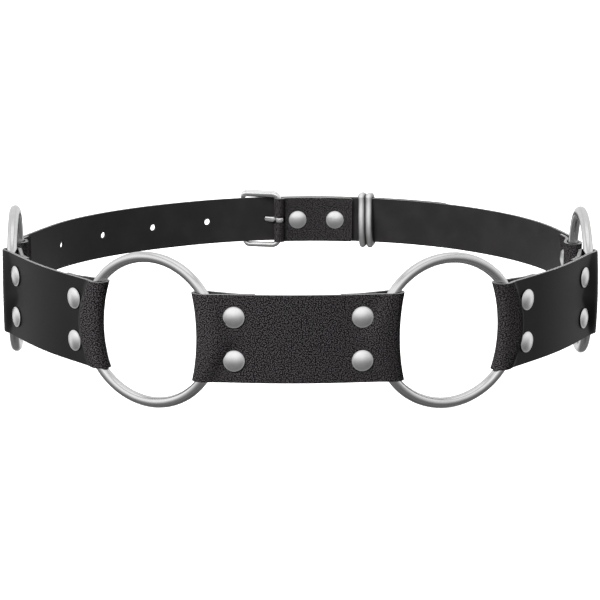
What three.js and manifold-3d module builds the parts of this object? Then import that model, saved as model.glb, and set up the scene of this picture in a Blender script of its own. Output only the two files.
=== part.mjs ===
import * as THREE from "three";
import { mergeVertices } from "three/addons/utils/BufferGeometryUtils.js";
import Module from "manifold-3d";

// O-ring belt, in millimetres, +Z up. It stands on its four rings with the buckle fastened.
// The front panel faces -Y, the buckle is at the back, and the belt's left is at -X.

// Gaps between pieces that touch
const AIR = 0.3;
const SEAT = 0.25;
const WIRE_AIR = 0.35;

// Leather
const LEATHER = 1.5;
const PANEL_HEIGHT = 40;
const STRAP_HEIGHT = 24;

// Wide panels, measured along the panel from its middle
const PANEL_BEND_RADIUS = 200;
const PANEL_BEND_REACH = 20;
const PANEL_FOLD_AT = 42.4;
const PANEL_FOLD_DEPTH = 7.1;
const PANEL_FOLD_EASE = 0.2;
const PANEL_FOLD_WAIST = { along: 1.2, inward: 1.7, radius: 0.5 };
const PANEL_FLAP_END = 19;

// Where the outer and the inner layer close round the wire, one row for each height
const PANEL_LEVELS = [
  { height: 0, outerClose: 31.8, innerClose: 31.8 },
  { height: 5, outerClose: 32.2, innerClose: 32.4 },
  { height: 10, outerClose: 33.5, innerClose: 33.5 },
  { height: 15, outerClose: 35, innerClose: 33.8 },
  { height: 20, outerClose: 37.5, innerClose: 26.5 },
];

// O-rings
const RING_RADIUS = 33.5;
const RING_WIRE = 2.5;
const RING_STEPS = 36;
const RING_SIDES = 8;

// Turns of the pieces round the front, in degrees from the +X direction
const FRONT_PANEL_Y = -95.3;
const FRONT_PANEL_TURN = 0.9;
const TURNS = {
  left: { frontRing: -28.1, panel: -56.3, sideRing: -87.2 },
  right: { frontRing: 22.5, panel: 56.8, sideRing: 91 },
};

// Domed rivets
const RIVET_CAP_RADIUS = 4.85;
const RIVET_DOME = 2.1;
const RIVET_SHANK = 1.7;
const RIVET_SIDES = 12;
const RIVET_CROWN = 0.72;
const RIVET_SHOULDER = 0.66;
const RIVET_FLAT_HEAD = 0.6;
const PANEL_RIVET_AT = 28.3;
const PANEL_RIVET_HEIGHT = 9.9;

// Seam line at the back, from the right ring round to the left ring. The tail strap's inner face
// follows it, and the buckle strap lies inside it.
const SEAM = [
  { x: 137.2, y: 88.1 },
  { x: 126.8, y: 116.6 },
  { x: 109.6, y: 142.4 },
  { x: 84.9, y: 165 },
  { x: 59, y: 179.1 },
  { x: 30, y: 187.2 },
  { x: 4.5, y: 189 },
  { x: -22, y: 185.8 },
  { x: -47.8, y: 177.8 },
  { x: -79.5, y: 160.3 },
  { x: -104, y: 139.6 },
  { x: -121, y: 117.6 },
  { x: -134.5, y: 87.8 },
];
const SEAM_GAP = 1.1;
const SEAM_LEAN = { right: 14, left: 18 };
const STRAP_STEP = 9;

// Narrow straps where they fold round the side rings, measured from the ring's wire
const STRAP_FOLD_EASE = 0.25;
const RIGHT_FOLD = { close: 11.8, rivet: 17.2, end: 23 };
const LEFT_FOLD = { close: 6.5, end: 16 };

// Buckle, with its heel bar at the right. The far bar leans by so much for each millimetre of height.
const HEEL_BAR_X = -10.9;
const BUCKLE_WIRE = 1.2;
const BUCKLE_SIDES = 8;
const BUCKLE_LENGTH = 18.4;
const BUCKLE_HEIGHT = 31.4;
const BUCKLE_RISE = 0.4;
const BUCKLE_CORNER = 2.6;
const BUCKLE_LEAN = 0.05;
const BUCKLE_CORNER_STEPS = 3;
const BUCKLE_FLAP = { close: 3.9, end: 41.2 };
const BUCKLE_RIVETS = [10.3, 31.4];

// Prong, from the heel bar outward through the tail strap and onto the frame's far bar
const PRONG_WIDTH = 2.5;
const PRONG_THICKNESS = 1.1;
const PRONG_WRAP = 230;
const PRONG_WRAP_STEPS = 9;
const PRONG_SLOT_REACH = 5.2;
const PRONG_SLOT_HEIGHT = 3.6;
const PRONG_INSIDE = 3.7;
const PRONG_OUTSIDE = 9.7;
const PRONG_OVERHANG = 1.5;

// Holes and tip of the tail strap
const HOLE_SPACING = 32.7;
const HOLE_COUNT = 4;
const HOLE_RADIUS = 1.8;
const PRONG_HOLE_AT = 7.3;
const TAIL_PAST_BAR = 99.9;
const TAIL_CORNER = 8;

// Keeper loop of two half-round bands
const KEEPER_AT = 48.7;
const KEEPER_BAND = 4.1;
const KEEPER_HEIGHT = 30;
const KEEPER_RIDGE = 1.95;
const KEEPER_WALL = 2;
const KEEPER_BASE = 0.7;
const KEEPER_CORNER = 3;
const KEEPER_LEAN = 2;

// Colours
const BLACK_LEATHER = { color: 0x2f2d2e, roughness: 0.55, metalness: 0 };
const BRUSHED_STEEL = { color: 0xc9c9cb, roughness: 0.32, metalness: 1 };

const LAYERS = 2 * LEATHER + AIR;
const radians = THREE.MathUtils.degToRad;

const wasm = await Module();
wasm.setup();

// Plan geometry

function point(x, y) {
  return new THREE.Vector2(x, y);
}

function polar(centre, radius, angle) {
  return point(centre.x + radius * Math.cos(angle), centre.y + radius * Math.sin(angle));
}

// A place in plan: u runs along its heading, and w points to the left of it, into the belt.
function place(origin, angle) {
  const along = point(Math.cos(angle), Math.sin(angle));
  const inward = point(-along.y, along.x);
  return {
    angle,
    at: (u, w) => origin.clone().addScaledVector(along, u).addScaledVector(inward, w),
    local: (p) => point(p.clone().sub(origin).dot(along), p.clone().sub(origin).dot(inward)),
  };
}

// Angle of the tangent from a point to a circle, on the circle's outer (-1) or inner (+1) side
function tangentAngle(from, centre, radius, side) {
  const reach = centre.clone().sub(from);
  const lift = Math.asin(Math.min(radius / reach.length(), 1));
  return Math.atan2(reach.y, reach.x) + side * (lift + Math.PI / 2);
}

function span(start, end, steps) {
  return Array.from({ length: steps + 1 }, (_, i) => THREE.MathUtils.lerp(start, end, i / steps));
}

// Line of leather that comes from outer, passes a wire on its outer side, turns round the fold's
// end and returns inside to inner. The wire and the turn are centres, and u points to the end.
function foldLine(outer, inner, wire, turn, radius, turnRadius = radius) {
  const right = Math.PI / 2;
  const settle = radians(8);
  const inset = radians(15);
  const lean = Math.atan2(turn.y - wire.y, turn.x - wire.x);
  const start = Math.min(tangentAngle(outer, wire, radius, -1), lean - right - settle);
  const end = Math.max(tangentAngle(inner, wire, radius, 1), lean + right + settle);
  return [
    outer,
    ...span(start, lean - right, 2).map((angle) => polar(wire, radius, angle)),
    ...span(lean - right + inset, lean + right - inset, 5).map((angle) => polar(turn, turnRadius, angle)),
    ...span(lean + right, end, 2).map((angle) => polar(wire, radius, angle)),
    inner,
  ];
}

// Solids

function bodyOf(geometry) {
  const bare = geometry.clone();
  bare.deleteAttribute("normal");
  bare.deleteAttribute("uv");
  const merged = mergeVertices(bare, 1e-4);
  return new wasm.Manifold(new wasm.Mesh({
    numProp: 3,
    vertProperties: new Float32Array(merged.attributes.position.array),
    triVerts: new Uint32Array(merged.index.array),
  }));
}

function geometryOf(body) {
  const mesh = body.getMesh();
  const geometry = new THREE.BufferGeometry();
  geometry.setAttribute("position", new THREE.BufferAttribute(mesh.vertProperties, 3));
  geometry.setIndex(new THREE.BufferAttribute(mesh.triVerts, 1));
  geometry.computeVertexNormals();
  return geometry;
}

function cut(geometry, cutters) {
  return geometryOf(cutters.reduce((body, cutter) => body.subtract(bodyOf(cutter)), bodyOf(geometry)));
}

function indexed(positions, triangles) {
  const geometry = new THREE.BufferGeometry();
  geometry.setAttribute("position", new THREE.Float32BufferAttribute(positions, 3));
  geometry.setIndex(triangles);
  geometry.computeVertexNormals();
  return geometry;
}

// Points at a distance to the right of a line in plan, mitred at its corners
function offset(line, distance) {
  return line.map((here, i) => {
    const before = here.clone().sub(line[Math.max(i - 1, 0)]).normalize();
    const after = line[Math.min(i + 1, line.length - 1)].clone().sub(here).normalize();
    const mean = before.clone().add(after).normalize();
    const single = i === 0 ? after : before;
    const stretch = distance / Math.max(mean.dot(single), 0.5);
    return point(here.x + mean.y * stretch, here.y - mean.x * stretch);
  });
}

// A wall on edge: rows of equally many plan points, one row for each height. Its outer face, the
// leather's grain side, is to the right of the line.
function wall(rows, thickness = LEATHER) {
  const count = rows[0].line.length;
  const positions = [];
  for (const { z, line } of rows) {
    const grain = offset(line, thickness / 2);
    const flesh = offset(line, -thickness / 2);
    for (let i = 0; i < count; i++) {
      positions.push(grain[i].x, grain[i].y, z, flesh[i].x, flesh[i].y, z);
    }
  }
  const grainAt = (row, i) => 2 * (row * count + i);
  const fleshAt = (row, i) => grainAt(row, i) + 1;
  const triangles = [];
  const quad = (a, b, c, d) => triangles.push(a, b, c, a, c, d);
  const last = count - 1;
  const top = rows.length - 1;
  for (let i = 0; i < last; i++) {
    for (let row = 0; row < top; row++) {
      quad(grainAt(row, i), grainAt(row, i + 1), grainAt(row + 1, i + 1), grainAt(row + 1, i));
      quad(fleshAt(row, i), fleshAt(row + 1, i), fleshAt(row + 1, i + 1), fleshAt(row, i + 1));
    }
    quad(grainAt(top, i), grainAt(top, i + 1), fleshAt(top, i + 1), fleshAt(top, i));
    quad(grainAt(0, i), fleshAt(0, i), fleshAt(0, i + 1), grainAt(0, i + 1));
  }
  for (let row = 0; row < top; row++) {
    quad(grainAt(row, 0), grainAt(row + 1, 0), fleshAt(row + 1, 0), fleshAt(row, 0));
    quad(grainAt(row, last), fleshAt(row, last), fleshAt(row + 1, last), grainAt(row + 1, last));
  }
  return indexed(positions, triangles);
}

// A wall of one line, with its middle at half height
function uprightBand(line, height, thickness) {
  return wall([-1, 1].map((side) => ({ z: (side * height) / 2, line })), thickness);
}

// A closed loop swept from equal sections, each a list of 3-D points
function closedSweep(sections) {
  const sides = sections[0].length;
  const positions = sections.flat().flatMap((p) => [p.x, p.y, p.z]);
  const triangles = [];
  sections.forEach((section, i) => {
    const next = (i + 1) % sections.length;
    section.forEach((_, j) => {
      const k = (j + 1) % sides;
      const [a, b] = [i * sides + j, next * sides + j];
      const [c, d] = [next * sides + k, i * sides + k];
      triangles.push(a, b, c, a, c, d);
    });
  });
  return indexed(positions, triangles);
}

// Centres and headings round a rectangle with rounded corners, counterclockwise
function roundedRectangle(width, height, radius, steps) {
  const corners = [
    point(width / 2 - radius, height / 2 - radius),
    point(radius - width / 2, height / 2 - radius),
    point(radius - width / 2, radius - height / 2),
    point(width / 2 - radius, radius - height / 2),
  ];
  return corners.flatMap((corner, quarter) =>
    span(quarter * 90, quarter * 90 + 90, steps).map((degrees) => ({
      centre: polar(corner, radius, radians(degrees)),
      out: polar(point(0, 0), 1, radians(degrees)),
    })),
  );
}

// The object's frame: a matrix with its axes along, inward and up at a plan point
function matrixAt(spot, angle, z = 0) {
  return new THREE.Matrix4().makeRotationZ(angle).setPosition(spot.x, spot.y, z);
}

// A round cutter through the leather, its axis inward
function drill({ spot, angle, z = 0 }, radius) {
  const length = 8 * LEATHER;
  return new THREE.CylinderGeometry(radius, radius, length, 8).applyMatrix4(matrixAt(spot, angle, z));
}

// Cutters that round both corners of a strap's end, which points along the angle at the spot
function cornerCutters(spot, angle, radius, depth) {
  const shape = new THREE.Shape();
  shape.moveTo(1, 1);
  shape.lineTo(-radius, 1);
  shape.lineTo(-radius, 0);
  shape.absarc(-radius, -radius, radius, Math.PI / 2, 0, true);
  shape.lineTo(1, -radius);
  return [Math.PI / 2, -Math.PI / 2].map((roll) => {
    const block = new THREE.ExtrudeGeometry(shape, { depth, bevelEnabled: false, curveSegments: 4 });
    block.translate(0, STRAP_HEIGHT / 2, -depth / 2);
    return block.rotateX(roll).applyMatrix4(matrixAt(spot, angle));
  });
}

// Layout of the front: panels and rings follow one another from the middle to both sides

const chord = (height) => Math.sqrt(RING_RADIUS ** 2 - height ** 2);
const EDGE_CHORD = chord(PANEL_HEIGHT / 2);

// Bend radius of leather round a ring's wire at one height, where the wire is cut at a slant
function wireBend(height) {
  const slanted = (RING_WIRE * RING_RADIUS) / chord(height);
  return Math.hypot(RING_WIRE, slanted) / Math.SQRT2 + WIRE_AIR + LEATHER / 2;
}

// A panel's end is at side -1 or +1 of it, and the ring beyond it turns by its own angle.
function ringBeyond(panel, side, turn) {
  const angle = radians(turn);
  const hold = panel.at(side * PANEL_FOLD_AT, PANEL_FOLD_DEPTH);
  return place(place(hold, angle).at(side * EDGE_CHORD, 0), angle);
}

function panelBeyond(ring, side, turn) {
  const angle = radians(turn);
  const hold = ring.at(side * EDGE_CHORD, 0);
  return place(place(hold, angle).at(side * PANEL_FOLD_AT, -PANEL_FOLD_DEPTH), angle);
}

const front = place(point(0, FRONT_PANEL_Y), radians(FRONT_PANEL_TURN));

function sideLayout(side, turns) {
  const frontRing = ringBeyond(front, side, turns.frontRing);
  const panel = panelBeyond(frontRing, side, turns.panel);
  const sideRing = ringBeyond(panel, side, turns.sideRing);
  return { frontRing, panel, sideRing };
}

const left = sideLayout(-1, TURNS.left);
const right = sideLayout(1, TURNS.right);

// Wide panels

function panelDepth(u) {
  const bent = Math.min(Math.abs(u), PANEL_BEND_REACH);
  const slope = PANEL_BEND_REACH / PANEL_BEND_RADIUS;
  return bent ** 2 / (2 * PANEL_BEND_RADIUS) + (Math.abs(u) - bent) * slope;
}

// Half of a panel's line at one level, from near its middle to the end of its flap. The bend is
// the angle between the panel and the ring in its fold.
function panelHalf({ height, outerClose, innerClose }, bend) {
  const face = (u, layer) => point(u, panelDepth(u) + LEATHER / 2 + layer * (LEATHER + AIR));
  const from = point(PANEL_FOLD_AT, PANEL_FOLD_DEPTH);
  const wire = polar(from, EDGE_CHORD - chord(height), bend);
  const waist = 1 - ((2 * height) / PANEL_HEIGHT) ** 2;
  const { along, inward, radius } = PANEL_FOLD_WAIST;
  const turn = polar(from, PANEL_FOLD_EASE, bend).add(point(-waist * along, -waist * inward));
  const bendRadius = wireBend(height);
  const turnRadius = bendRadius - waist * radius;
  const [outer, inner] = [face(outerClose, 0), face(innerClose, 1)];
  return [
    face(PANEL_BEND_REACH / 2, 0),
    face(PANEL_BEND_REACH, 0),
    ...foldLine(outer, inner, wire, turn, bendRadius, turnRadius),
    face(PANEL_FLAP_END, 1),
  ];
}

function panelLine(panel, level, bends) {
  const mirrored = panelHalf(level, bends.minus).map((p) => point(-p.x, p.y)).reverse();
  const middle = point(0, LEATHER / 2);
  return [...mirrored, middle, ...panelHalf(level, bends.plus)].map((p) => panel.at(p.x, p.y));
}

function panelRivets(panel) {
  return [-1, 1].flatMap((side) => {
    const tilt = Math.atan(PANEL_BEND_REACH / PANEL_BEND_RADIUS) * side;
    const spot = panel.at(side * PANEL_RIVET_AT, panelDepth(PANEL_RIVET_AT) + LAYERS / 2);
    return [1, -1].map((up) => ({ spot, angle: panel.angle + tilt, z: up * PANEL_RIVET_HEIGHT }));
  });
}

function makePanel(panel, minusRing, plusRing) {
  const bends = { minus: panel.angle - minusRing.angle, plus: plusRing.angle - panel.angle };
  const lower = PANEL_LEVELS.slice(1).reverse().map((level) => ({ z: -level.height, level }));
  const upper = PANEL_LEVELS.map((level) => ({ z: level.height, level }));
  const rows = [...lower, ...upper].map(({ z, level }) => ({ z, line: panelLine(panel, level, bends) }));
  return cut(wall(rows), panelRivets(panel).map((rivet) => drill(rivet, RIVET_SHANK + AIR)));
}

// Rings, each with a flat side of its wire facing down at its lowest point
function makeRing(ring) {
  const major = RING_RADIUS / Math.cos(Math.PI / RING_STEPS);
  const sections = Array.from({ length: RING_STEPS }, (_, i) => {
    const turn = ((i + 0.5) / RING_STEPS) * 2 * Math.PI;
    return Array.from({ length: RING_SIDES }, (_, j) => {
      const roll = ((j + 0.5) / RING_SIDES) * 2 * Math.PI;
      const reach = major + RING_WIRE * Math.cos(roll);
      const spot = ring.at(-reach * Math.sin(turn), RING_WIRE * Math.sin(roll));
      return new THREE.Vector3(spot.x, spot.y, -reach * Math.cos(turn));
    });
  });
  return closedSweep(sections);
}

// Rivets, with a domed cap inside and outside. The outer head may be flat.
function makeRivet({ spot, angle, z = 0 }, outerRise = RIVET_DOME) {
  const grip = LAYERS / 2 + SEAT;
  const head = (side, rise) => [
    point(RIVET_SHANK, side * grip),
    point(RIVET_CAP_RADIUS, side * grip),
    point(RIVET_CAP_RADIUS * RIVET_CROWN, side * (grip + rise * RIVET_SHOULDER)),
    point(0, side * (grip + rise)),
  ];
  const profile = [...head(-1, outerRise).reverse(), ...head(1, RIVET_DOME)];
  return new THREE.LatheGeometry(profile, RIVET_SIDES).applyMatrix4(matrixAt(spot, angle, z));
}

// Seam line at the back

const STRAP_CHORD = chord(STRAP_HEIGHT / 2);
const STRAP_WIRE_BEND = wireBend(STRAP_HEIGHT / 2);
const rightWire = right.sideRing.at(STRAP_CHORD, 0);
const leftWire = left.sideRing.at(-STRAP_CHORD, 0);
const seamStart = polar(rightWire, STRAP_WIRE_BEND + LEATHER / 2 + SEAM_GAP, radians(SEAM_LEAN.right));
const seamEnd = polar(leftWire, STRAP_WIRE_BEND - LEATHER / 2, radians(180 - SEAM_LEAN.left));
const seamPoints = [seamStart, ...SEAM.map(({ x, y }) => point(x, y)), seamEnd];
const seam = new THREE.CatmullRomCurve3(
  seamPoints.map((p) => new THREE.Vector3(p.x, p.y, 0)), false, "centripetal");
seam.arcLengthDivisions = 1200;
const SEAM_LENGTH = seam.getLength();

// The place on the seam at a distance from its start at the right ring, heading to the left
function onSeam(distance) {
  const t = THREE.MathUtils.clamp(distance / SEAM_LENGTH, 0, 1);
  const spot = seam.getPointAt(t);
  const heading = seam.getTangentAt(t);
  return place(point(spot.x, spot.y), Math.atan2(heading.y, heading.x));
}

function seamDistanceAt(x) {
  let [low, high] = [0, SEAM_LENGTH];
  while (high - low > SEAT / 100) {
    const middle = (low + high) / 2;
    if (onSeam(middle).at(0, 0).x > x) low = middle;
    else high = middle;
  }
  return low;
}

function seamLine(from, to, depth) {
  const steps = Math.max(1, Math.round(Math.abs(to - from) / STRAP_STEP));
  return span(from, to, steps).map((distance) => onSeam(distance).at(0, depth));
}

const HEEL_BAR = seamDistanceAt(HEEL_BAR_X);
const TAIL_MIDDLE = -LEATHER / 2;
const STRAP_MIDDLE = SEAM_GAP + LEATHER / 2;
const LAYER_STEP = LEATHER + AIR;

// End of a strap that folds round a bar and lies back inside itself, from the outer layer on. The
// bar's place has its u axis along the seam, and side tells which way the strap's end points.
function strapFold({ bar, side, sunk, ease, radius, seamAt, middle, fold }) {
  const turned = (p) => point(side * p.x, p.y);
  const closing = (depth) => turned(bar.local(onSeam(seamAt - side * fold.close).at(0, depth)));
  const wire = point(-sunk, 0);
  const line = foldLine(closing(middle), closing(middle + LAYER_STEP), wire, point(ease, 0), radius);
  const flap = seamLine(seamAt - side * fold.close, seamAt - side * fold.end, middle + LAYER_STEP);
  return [...line.map((p) => bar.at(turned(p).x, p.y)), ...flap.slice(1)];
}

const RING_SUNK = RING_RADIUS - STRAP_CHORD;

function rivetThrough(distance) {
  const here = onSeam(distance);
  return { spot: here.at(0, SEAM_GAP + LAYERS / 2), angle: here.angle };
}

// Buckle

const BAR_DEPTH = SEAM_GAP + LEATHER + AIR + BUCKLE_WIRE;
const bar = place(onSeam(HEEL_BAR).at(0, BAR_DEPTH), onSeam(HEEL_BAR).angle);
const farBar = onSeam(HEEL_BAR + BUCKLE_LENGTH).at(0, -LEATHER - AIR - BUCKLE_WIRE);

function makeBuckleFrame() {
  const across = farBar.clone().sub(bar.at(0, 0));
  const middle = place(bar.at(0, 0).addScaledVector(across, 0.5), across.angle());
  const height = BUCKLE_HEIGHT - 2 * BUCKLE_WIRE;
  const path = roundedRectangle(across.length(), height, BUCKLE_CORNER, BUCKLE_CORNER_STEPS);
  return closedSweep(path.map(({ centre, out }) =>
    Array.from({ length: BUCKLE_SIDES }, (_, j) => {
      const roll = (-j / BUCKLE_SIDES) * 2 * Math.PI;
      const offCentre = out.clone().multiplyScalar(BUCKLE_WIRE * Math.cos(roll)).add(centre);
      const share = 0.5 + centre.x / across.length();
      const lean = BUCKLE_LEAN * share * offCentre.y;
      const spot = middle.at(offCentre.x + lean, BUCKLE_WIRE * Math.sin(roll));
      return new THREE.Vector3(spot.x, spot.y, offCentre.y + BUCKLE_RISE);
    })));
}

// The prong's line in plan: round the heel bar from inside, then outward through the tail strap.
// The fold of the strap leaves it free over the height of its slot.
function prongLine() {
  const bend = BUCKLE_WIRE + SEAT + PRONG_THICKNESS / 2;
  const curl = span(-PRONG_WRAP, 0, PRONG_WRAP_STEPS)
    .map((degrees) => polar(point(0, 0), bend, radians(degrees - 90)))
    .map((p) => bar.at(p.x, p.y));
  const outside = -LEATHER - AIR - PRONG_THICKNESS / 2;
  const onBar = outside - 2 * BUCKLE_WIRE - SEAT;
  return [
    ...curl,
    onSeam(HEEL_BAR + PRONG_INSIDE).at(0, BAR_DEPTH - bend),
    onSeam(HEEL_BAR + PRONG_OUTSIDE).at(0, outside - AIR),
    onSeam(HEEL_BAR + BUCKLE_LENGTH).at(0, onBar),
    onSeam(HEEL_BAR + BUCKLE_LENGTH + PRONG_OVERHANG).at(0, onBar),
  ];
}

function makeProng(clearance = 0) {
  return uprightBand(prongLine(), PRONG_WIDTH + 2 * clearance, PRONG_THICKNESS + 2 * clearance);
}

// Back straps

function makeTailStrap() {
  const ringFold = strapFold({
    bar: place(leftWire, left.sideRing.angle), side: 1, sunk: RING_SUNK, ease: STRAP_FOLD_EASE,
    radius: STRAP_WIRE_BEND, seamAt: SEAM_LENGTH, middle: TAIL_MIDDLE, fold: LEFT_FOLD,
  });
  const tip = HEEL_BAR - TAIL_PAST_BAR;
  const line = [...seamLine(tip, SEAM_LENGTH - LEFT_FOLD.close, TAIL_MIDDLE).slice(0, -1), ...ringFold];
  const end = onSeam(tip);
  const firstHole = HEEL_BAR + PRONG_HOLE_AT;
  const holes = Array.from({ length: HOLE_COUNT }, (_, i) => {
    const here = onSeam(firstHole + (i + 1) * HOLE_SPACING);
    return drill({ spot: here.at(0, TAIL_MIDDLE), angle: here.angle }, HOLE_RADIUS);
  });
  return cut(uprightBand(line, STRAP_HEIGHT, LEATHER), [
    ...cornerCutters(end.at(0, TAIL_MIDDLE), end.angle + Math.PI, TAIL_CORNER, 4 * LEATHER),
    ...holes,
    makeProng(AIR),
  ]);
}

function makeBuckleStrap() {
  const ringFold = strapFold({
    bar: place(rightWire, right.sideRing.angle), side: -1, sunk: RING_SUNK, ease: STRAP_FOLD_EASE,
    radius: STRAP_WIRE_BEND, seamAt: 0, middle: STRAP_MIDDLE, fold: RIGHT_FOLD,
  });
  const buckleFold = strapFold({
    bar, side: 1, sunk: 0, ease: 0, radius: BUCKLE_WIRE + AIR + LEATHER / 2,
    seamAt: HEEL_BAR, middle: STRAP_MIDDLE, fold: BUCKLE_FLAP,
  });
  const between = seamLine(RIGHT_FOLD.close, HEEL_BAR - BUCKLE_FLAP.close, STRAP_MIDDLE).slice(1, -1);
  const line = [...ringFold.reverse(), ...between, ...buckleFold];
  const rivets = [RIGHT_FOLD.rivet, ...BUCKLE_RIVETS.map((reach) => HEEL_BAR - reach)];
  const slot = new THREE.BoxGeometry(4 * BAR_DEPTH, 4 * BAR_DEPTH, PRONG_SLOT_HEIGHT);
  const slotShift = PRONG_SLOT_REACH - 2 * BAR_DEPTH;
  slot.applyMatrix4(matrixAt(bar.at(-slotShift, 0), bar.angle));
  return cut(uprightBand(line, STRAP_HEIGHT, LEATHER), [
    ...rivets.map((distance) => drill(rivetThrough(distance), RIVET_SHANK + AIR)),
    slot,
  ]);
}

// Keeper, a band bent to a loop round all layers of the back straps
function makeKeeper() {
  const here = onSeam(HEEL_BAR - KEEPER_AT);
  const inside = SEAM_GAP + LEATHER + AIR;
  const outside = -LEATHER - AIR;
  const middle = place(here.at(0, (inside + outside) / 2), here.angle);
  const height = KEEPER_HEIGHT - 2 * KEEPER_WALL;
  const path = roundedRectangle(inside - outside, height, KEEPER_CORNER - KEEPER_WALL, 2);
  const rise = KEEPER_WALL - KEEPER_BASE;
  const ridge = (middleAt) => [180, 125, 55, 0].map(radians).map((angle) =>
    point(middleAt + KEEPER_RIDGE * Math.cos(angle), KEEPER_BASE + rise * Math.sin(angle)));
  const [first, second] = [-KEEPER_BAND / 2, KEEPER_BAND / 2].map(ridge);
  const profile = [point(-KEEPER_BAND, 0), ...first, ...second, point(KEEPER_BAND, 0)];
  return closedSweep(path.map(({ centre, out }) => profile.map((p) => {
    const spot = out.clone().multiplyScalar(p.y).add(centre);
    const lean = Math.tan(radians(KEEPER_LEAN)) * spot.y;
    const plan = middle.at(p.x + lean, spot.x);
    return new THREE.Vector3(plan.x, plan.y, spot.y);
  })));
}

// Belt

const belt = new THREE.Group();
belt.name = "o_ring_belt";

function add(name, geometry, look) {
  const mesh = new THREE.Mesh(geometry, new THREE.MeshStandardMaterial(look));
  mesh.name = name;
  belt.add(mesh);
}

const panels = {
  front_panel: { panel: front, minus: left.frontRing, plus: right.frontRing },
  left_panel: { panel: left.panel, minus: left.sideRing, plus: left.frontRing },
  right_panel: { panel: right.panel, minus: right.frontRing, plus: right.sideRing },
};
for (const [name, { panel, minus, plus }] of Object.entries(panels)) {
  add(name, makePanel(panel, minus, plus), BLACK_LEATHER);
  panelRivets(panel).forEach((rivet, i) =>
    add(`${name}_rivet_${i + 1}`, makeRivet(rivet), BRUSHED_STEEL));
}
add("ring_front_left", makeRing(left.frontRing), BRUSHED_STEEL);
add("ring_front_right", makeRing(right.frontRing), BRUSHED_STEEL);
add("ring_side_left", makeRing(left.sideRing), BRUSHED_STEEL);
add("ring_side_right", makeRing(right.sideRing), BRUSHED_STEEL);
add("tail_strap", makeTailStrap(), BLACK_LEATHER);
add("buckle_strap", makeBuckleStrap(), BLACK_LEATHER);
BUCKLE_RIVETS.forEach((reach, i) => {
  const rivet = makeRivet(rivetThrough(HEEL_BAR - reach), RIVET_FLAT_HEAD);
  add(`buckle_rivet_${i + 1}`, rivet, BRUSHED_STEEL);
});
add("ring_strap_rivet", makeRivet(rivetThrough(RIGHT_FOLD.rivet)), BRUSHED_STEEL);
add("buckle_frame", makeBuckleFrame(), BRUSHED_STEEL);
add("buckle_prong", makeProng(), BRUSHED_STEEL);
add("keeper", makeKeeper(), BRUSHED_STEEL);

const extent = new THREE.Box3().setFromObject(belt);
const centre = extent.getCenter(new THREE.Vector3());
for (const mesh of belt.children) {
  mesh.geometry.translate(-centre.x, -centre.y, -extent.min.z);
}

export default belt;
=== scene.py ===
"""The looks of an o-ring belt: pebble-grained black leather, cut edges and satin steel.

The belt is drawn in plan, in millimetres, round a point inside its loop, and its meshes are then
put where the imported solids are, in metres. The front panel faces -Y and the buckle is at +Y.
"""

import logging
import math
from collections.abc import Callable
from dataclasses import dataclass, field
from enum import Enum, IntEnum
from typing import NamedTuple

import bmesh
import bpy
import numpy as np
from numpy.typing import NDArray
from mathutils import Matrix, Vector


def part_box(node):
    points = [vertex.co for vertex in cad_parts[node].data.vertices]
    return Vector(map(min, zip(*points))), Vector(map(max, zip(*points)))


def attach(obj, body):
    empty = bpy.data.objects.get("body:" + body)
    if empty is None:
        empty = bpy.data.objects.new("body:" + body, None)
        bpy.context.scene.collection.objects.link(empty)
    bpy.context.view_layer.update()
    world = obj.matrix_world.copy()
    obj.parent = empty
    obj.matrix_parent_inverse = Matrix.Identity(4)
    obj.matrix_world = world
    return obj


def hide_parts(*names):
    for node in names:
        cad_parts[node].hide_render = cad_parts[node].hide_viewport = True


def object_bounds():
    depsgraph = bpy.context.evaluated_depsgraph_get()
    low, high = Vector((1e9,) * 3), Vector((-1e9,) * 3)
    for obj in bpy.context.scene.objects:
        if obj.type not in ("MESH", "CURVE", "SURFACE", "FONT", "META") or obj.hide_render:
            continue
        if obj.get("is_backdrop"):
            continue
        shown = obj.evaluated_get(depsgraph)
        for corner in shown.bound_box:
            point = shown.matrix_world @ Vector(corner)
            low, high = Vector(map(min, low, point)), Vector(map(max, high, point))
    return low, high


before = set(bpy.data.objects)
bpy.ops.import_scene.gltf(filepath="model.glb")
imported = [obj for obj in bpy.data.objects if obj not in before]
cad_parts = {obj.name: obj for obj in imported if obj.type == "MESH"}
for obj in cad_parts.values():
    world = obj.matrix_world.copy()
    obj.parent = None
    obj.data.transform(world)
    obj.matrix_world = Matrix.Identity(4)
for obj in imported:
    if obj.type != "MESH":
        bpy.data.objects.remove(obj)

Array = NDArray[np.float64]
Colour = tuple[float, float, float, float]
Span = tuple[float, float]
log = logging.getLogger("o_ring_belt")

MM = 0.001
BODY = "root"

# Names of what a mesh holds for its shader
ROLL = "roll"
PRESS = "press"
# Painted shade: how dark a piece's metal is painted on its flanks and in its hollows
PAINTED_SHADE = "painted_shade"
SHEET = "sheet"

# Tint of the dyed leather, a little plum, by colour channel
PLUM = (1.08, 1.0, 1.05)

# Lengths in metres under which points are welded and edges are dropped
WELD = 1e-6
SLIVER = 1e-7


# Shader maths


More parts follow.
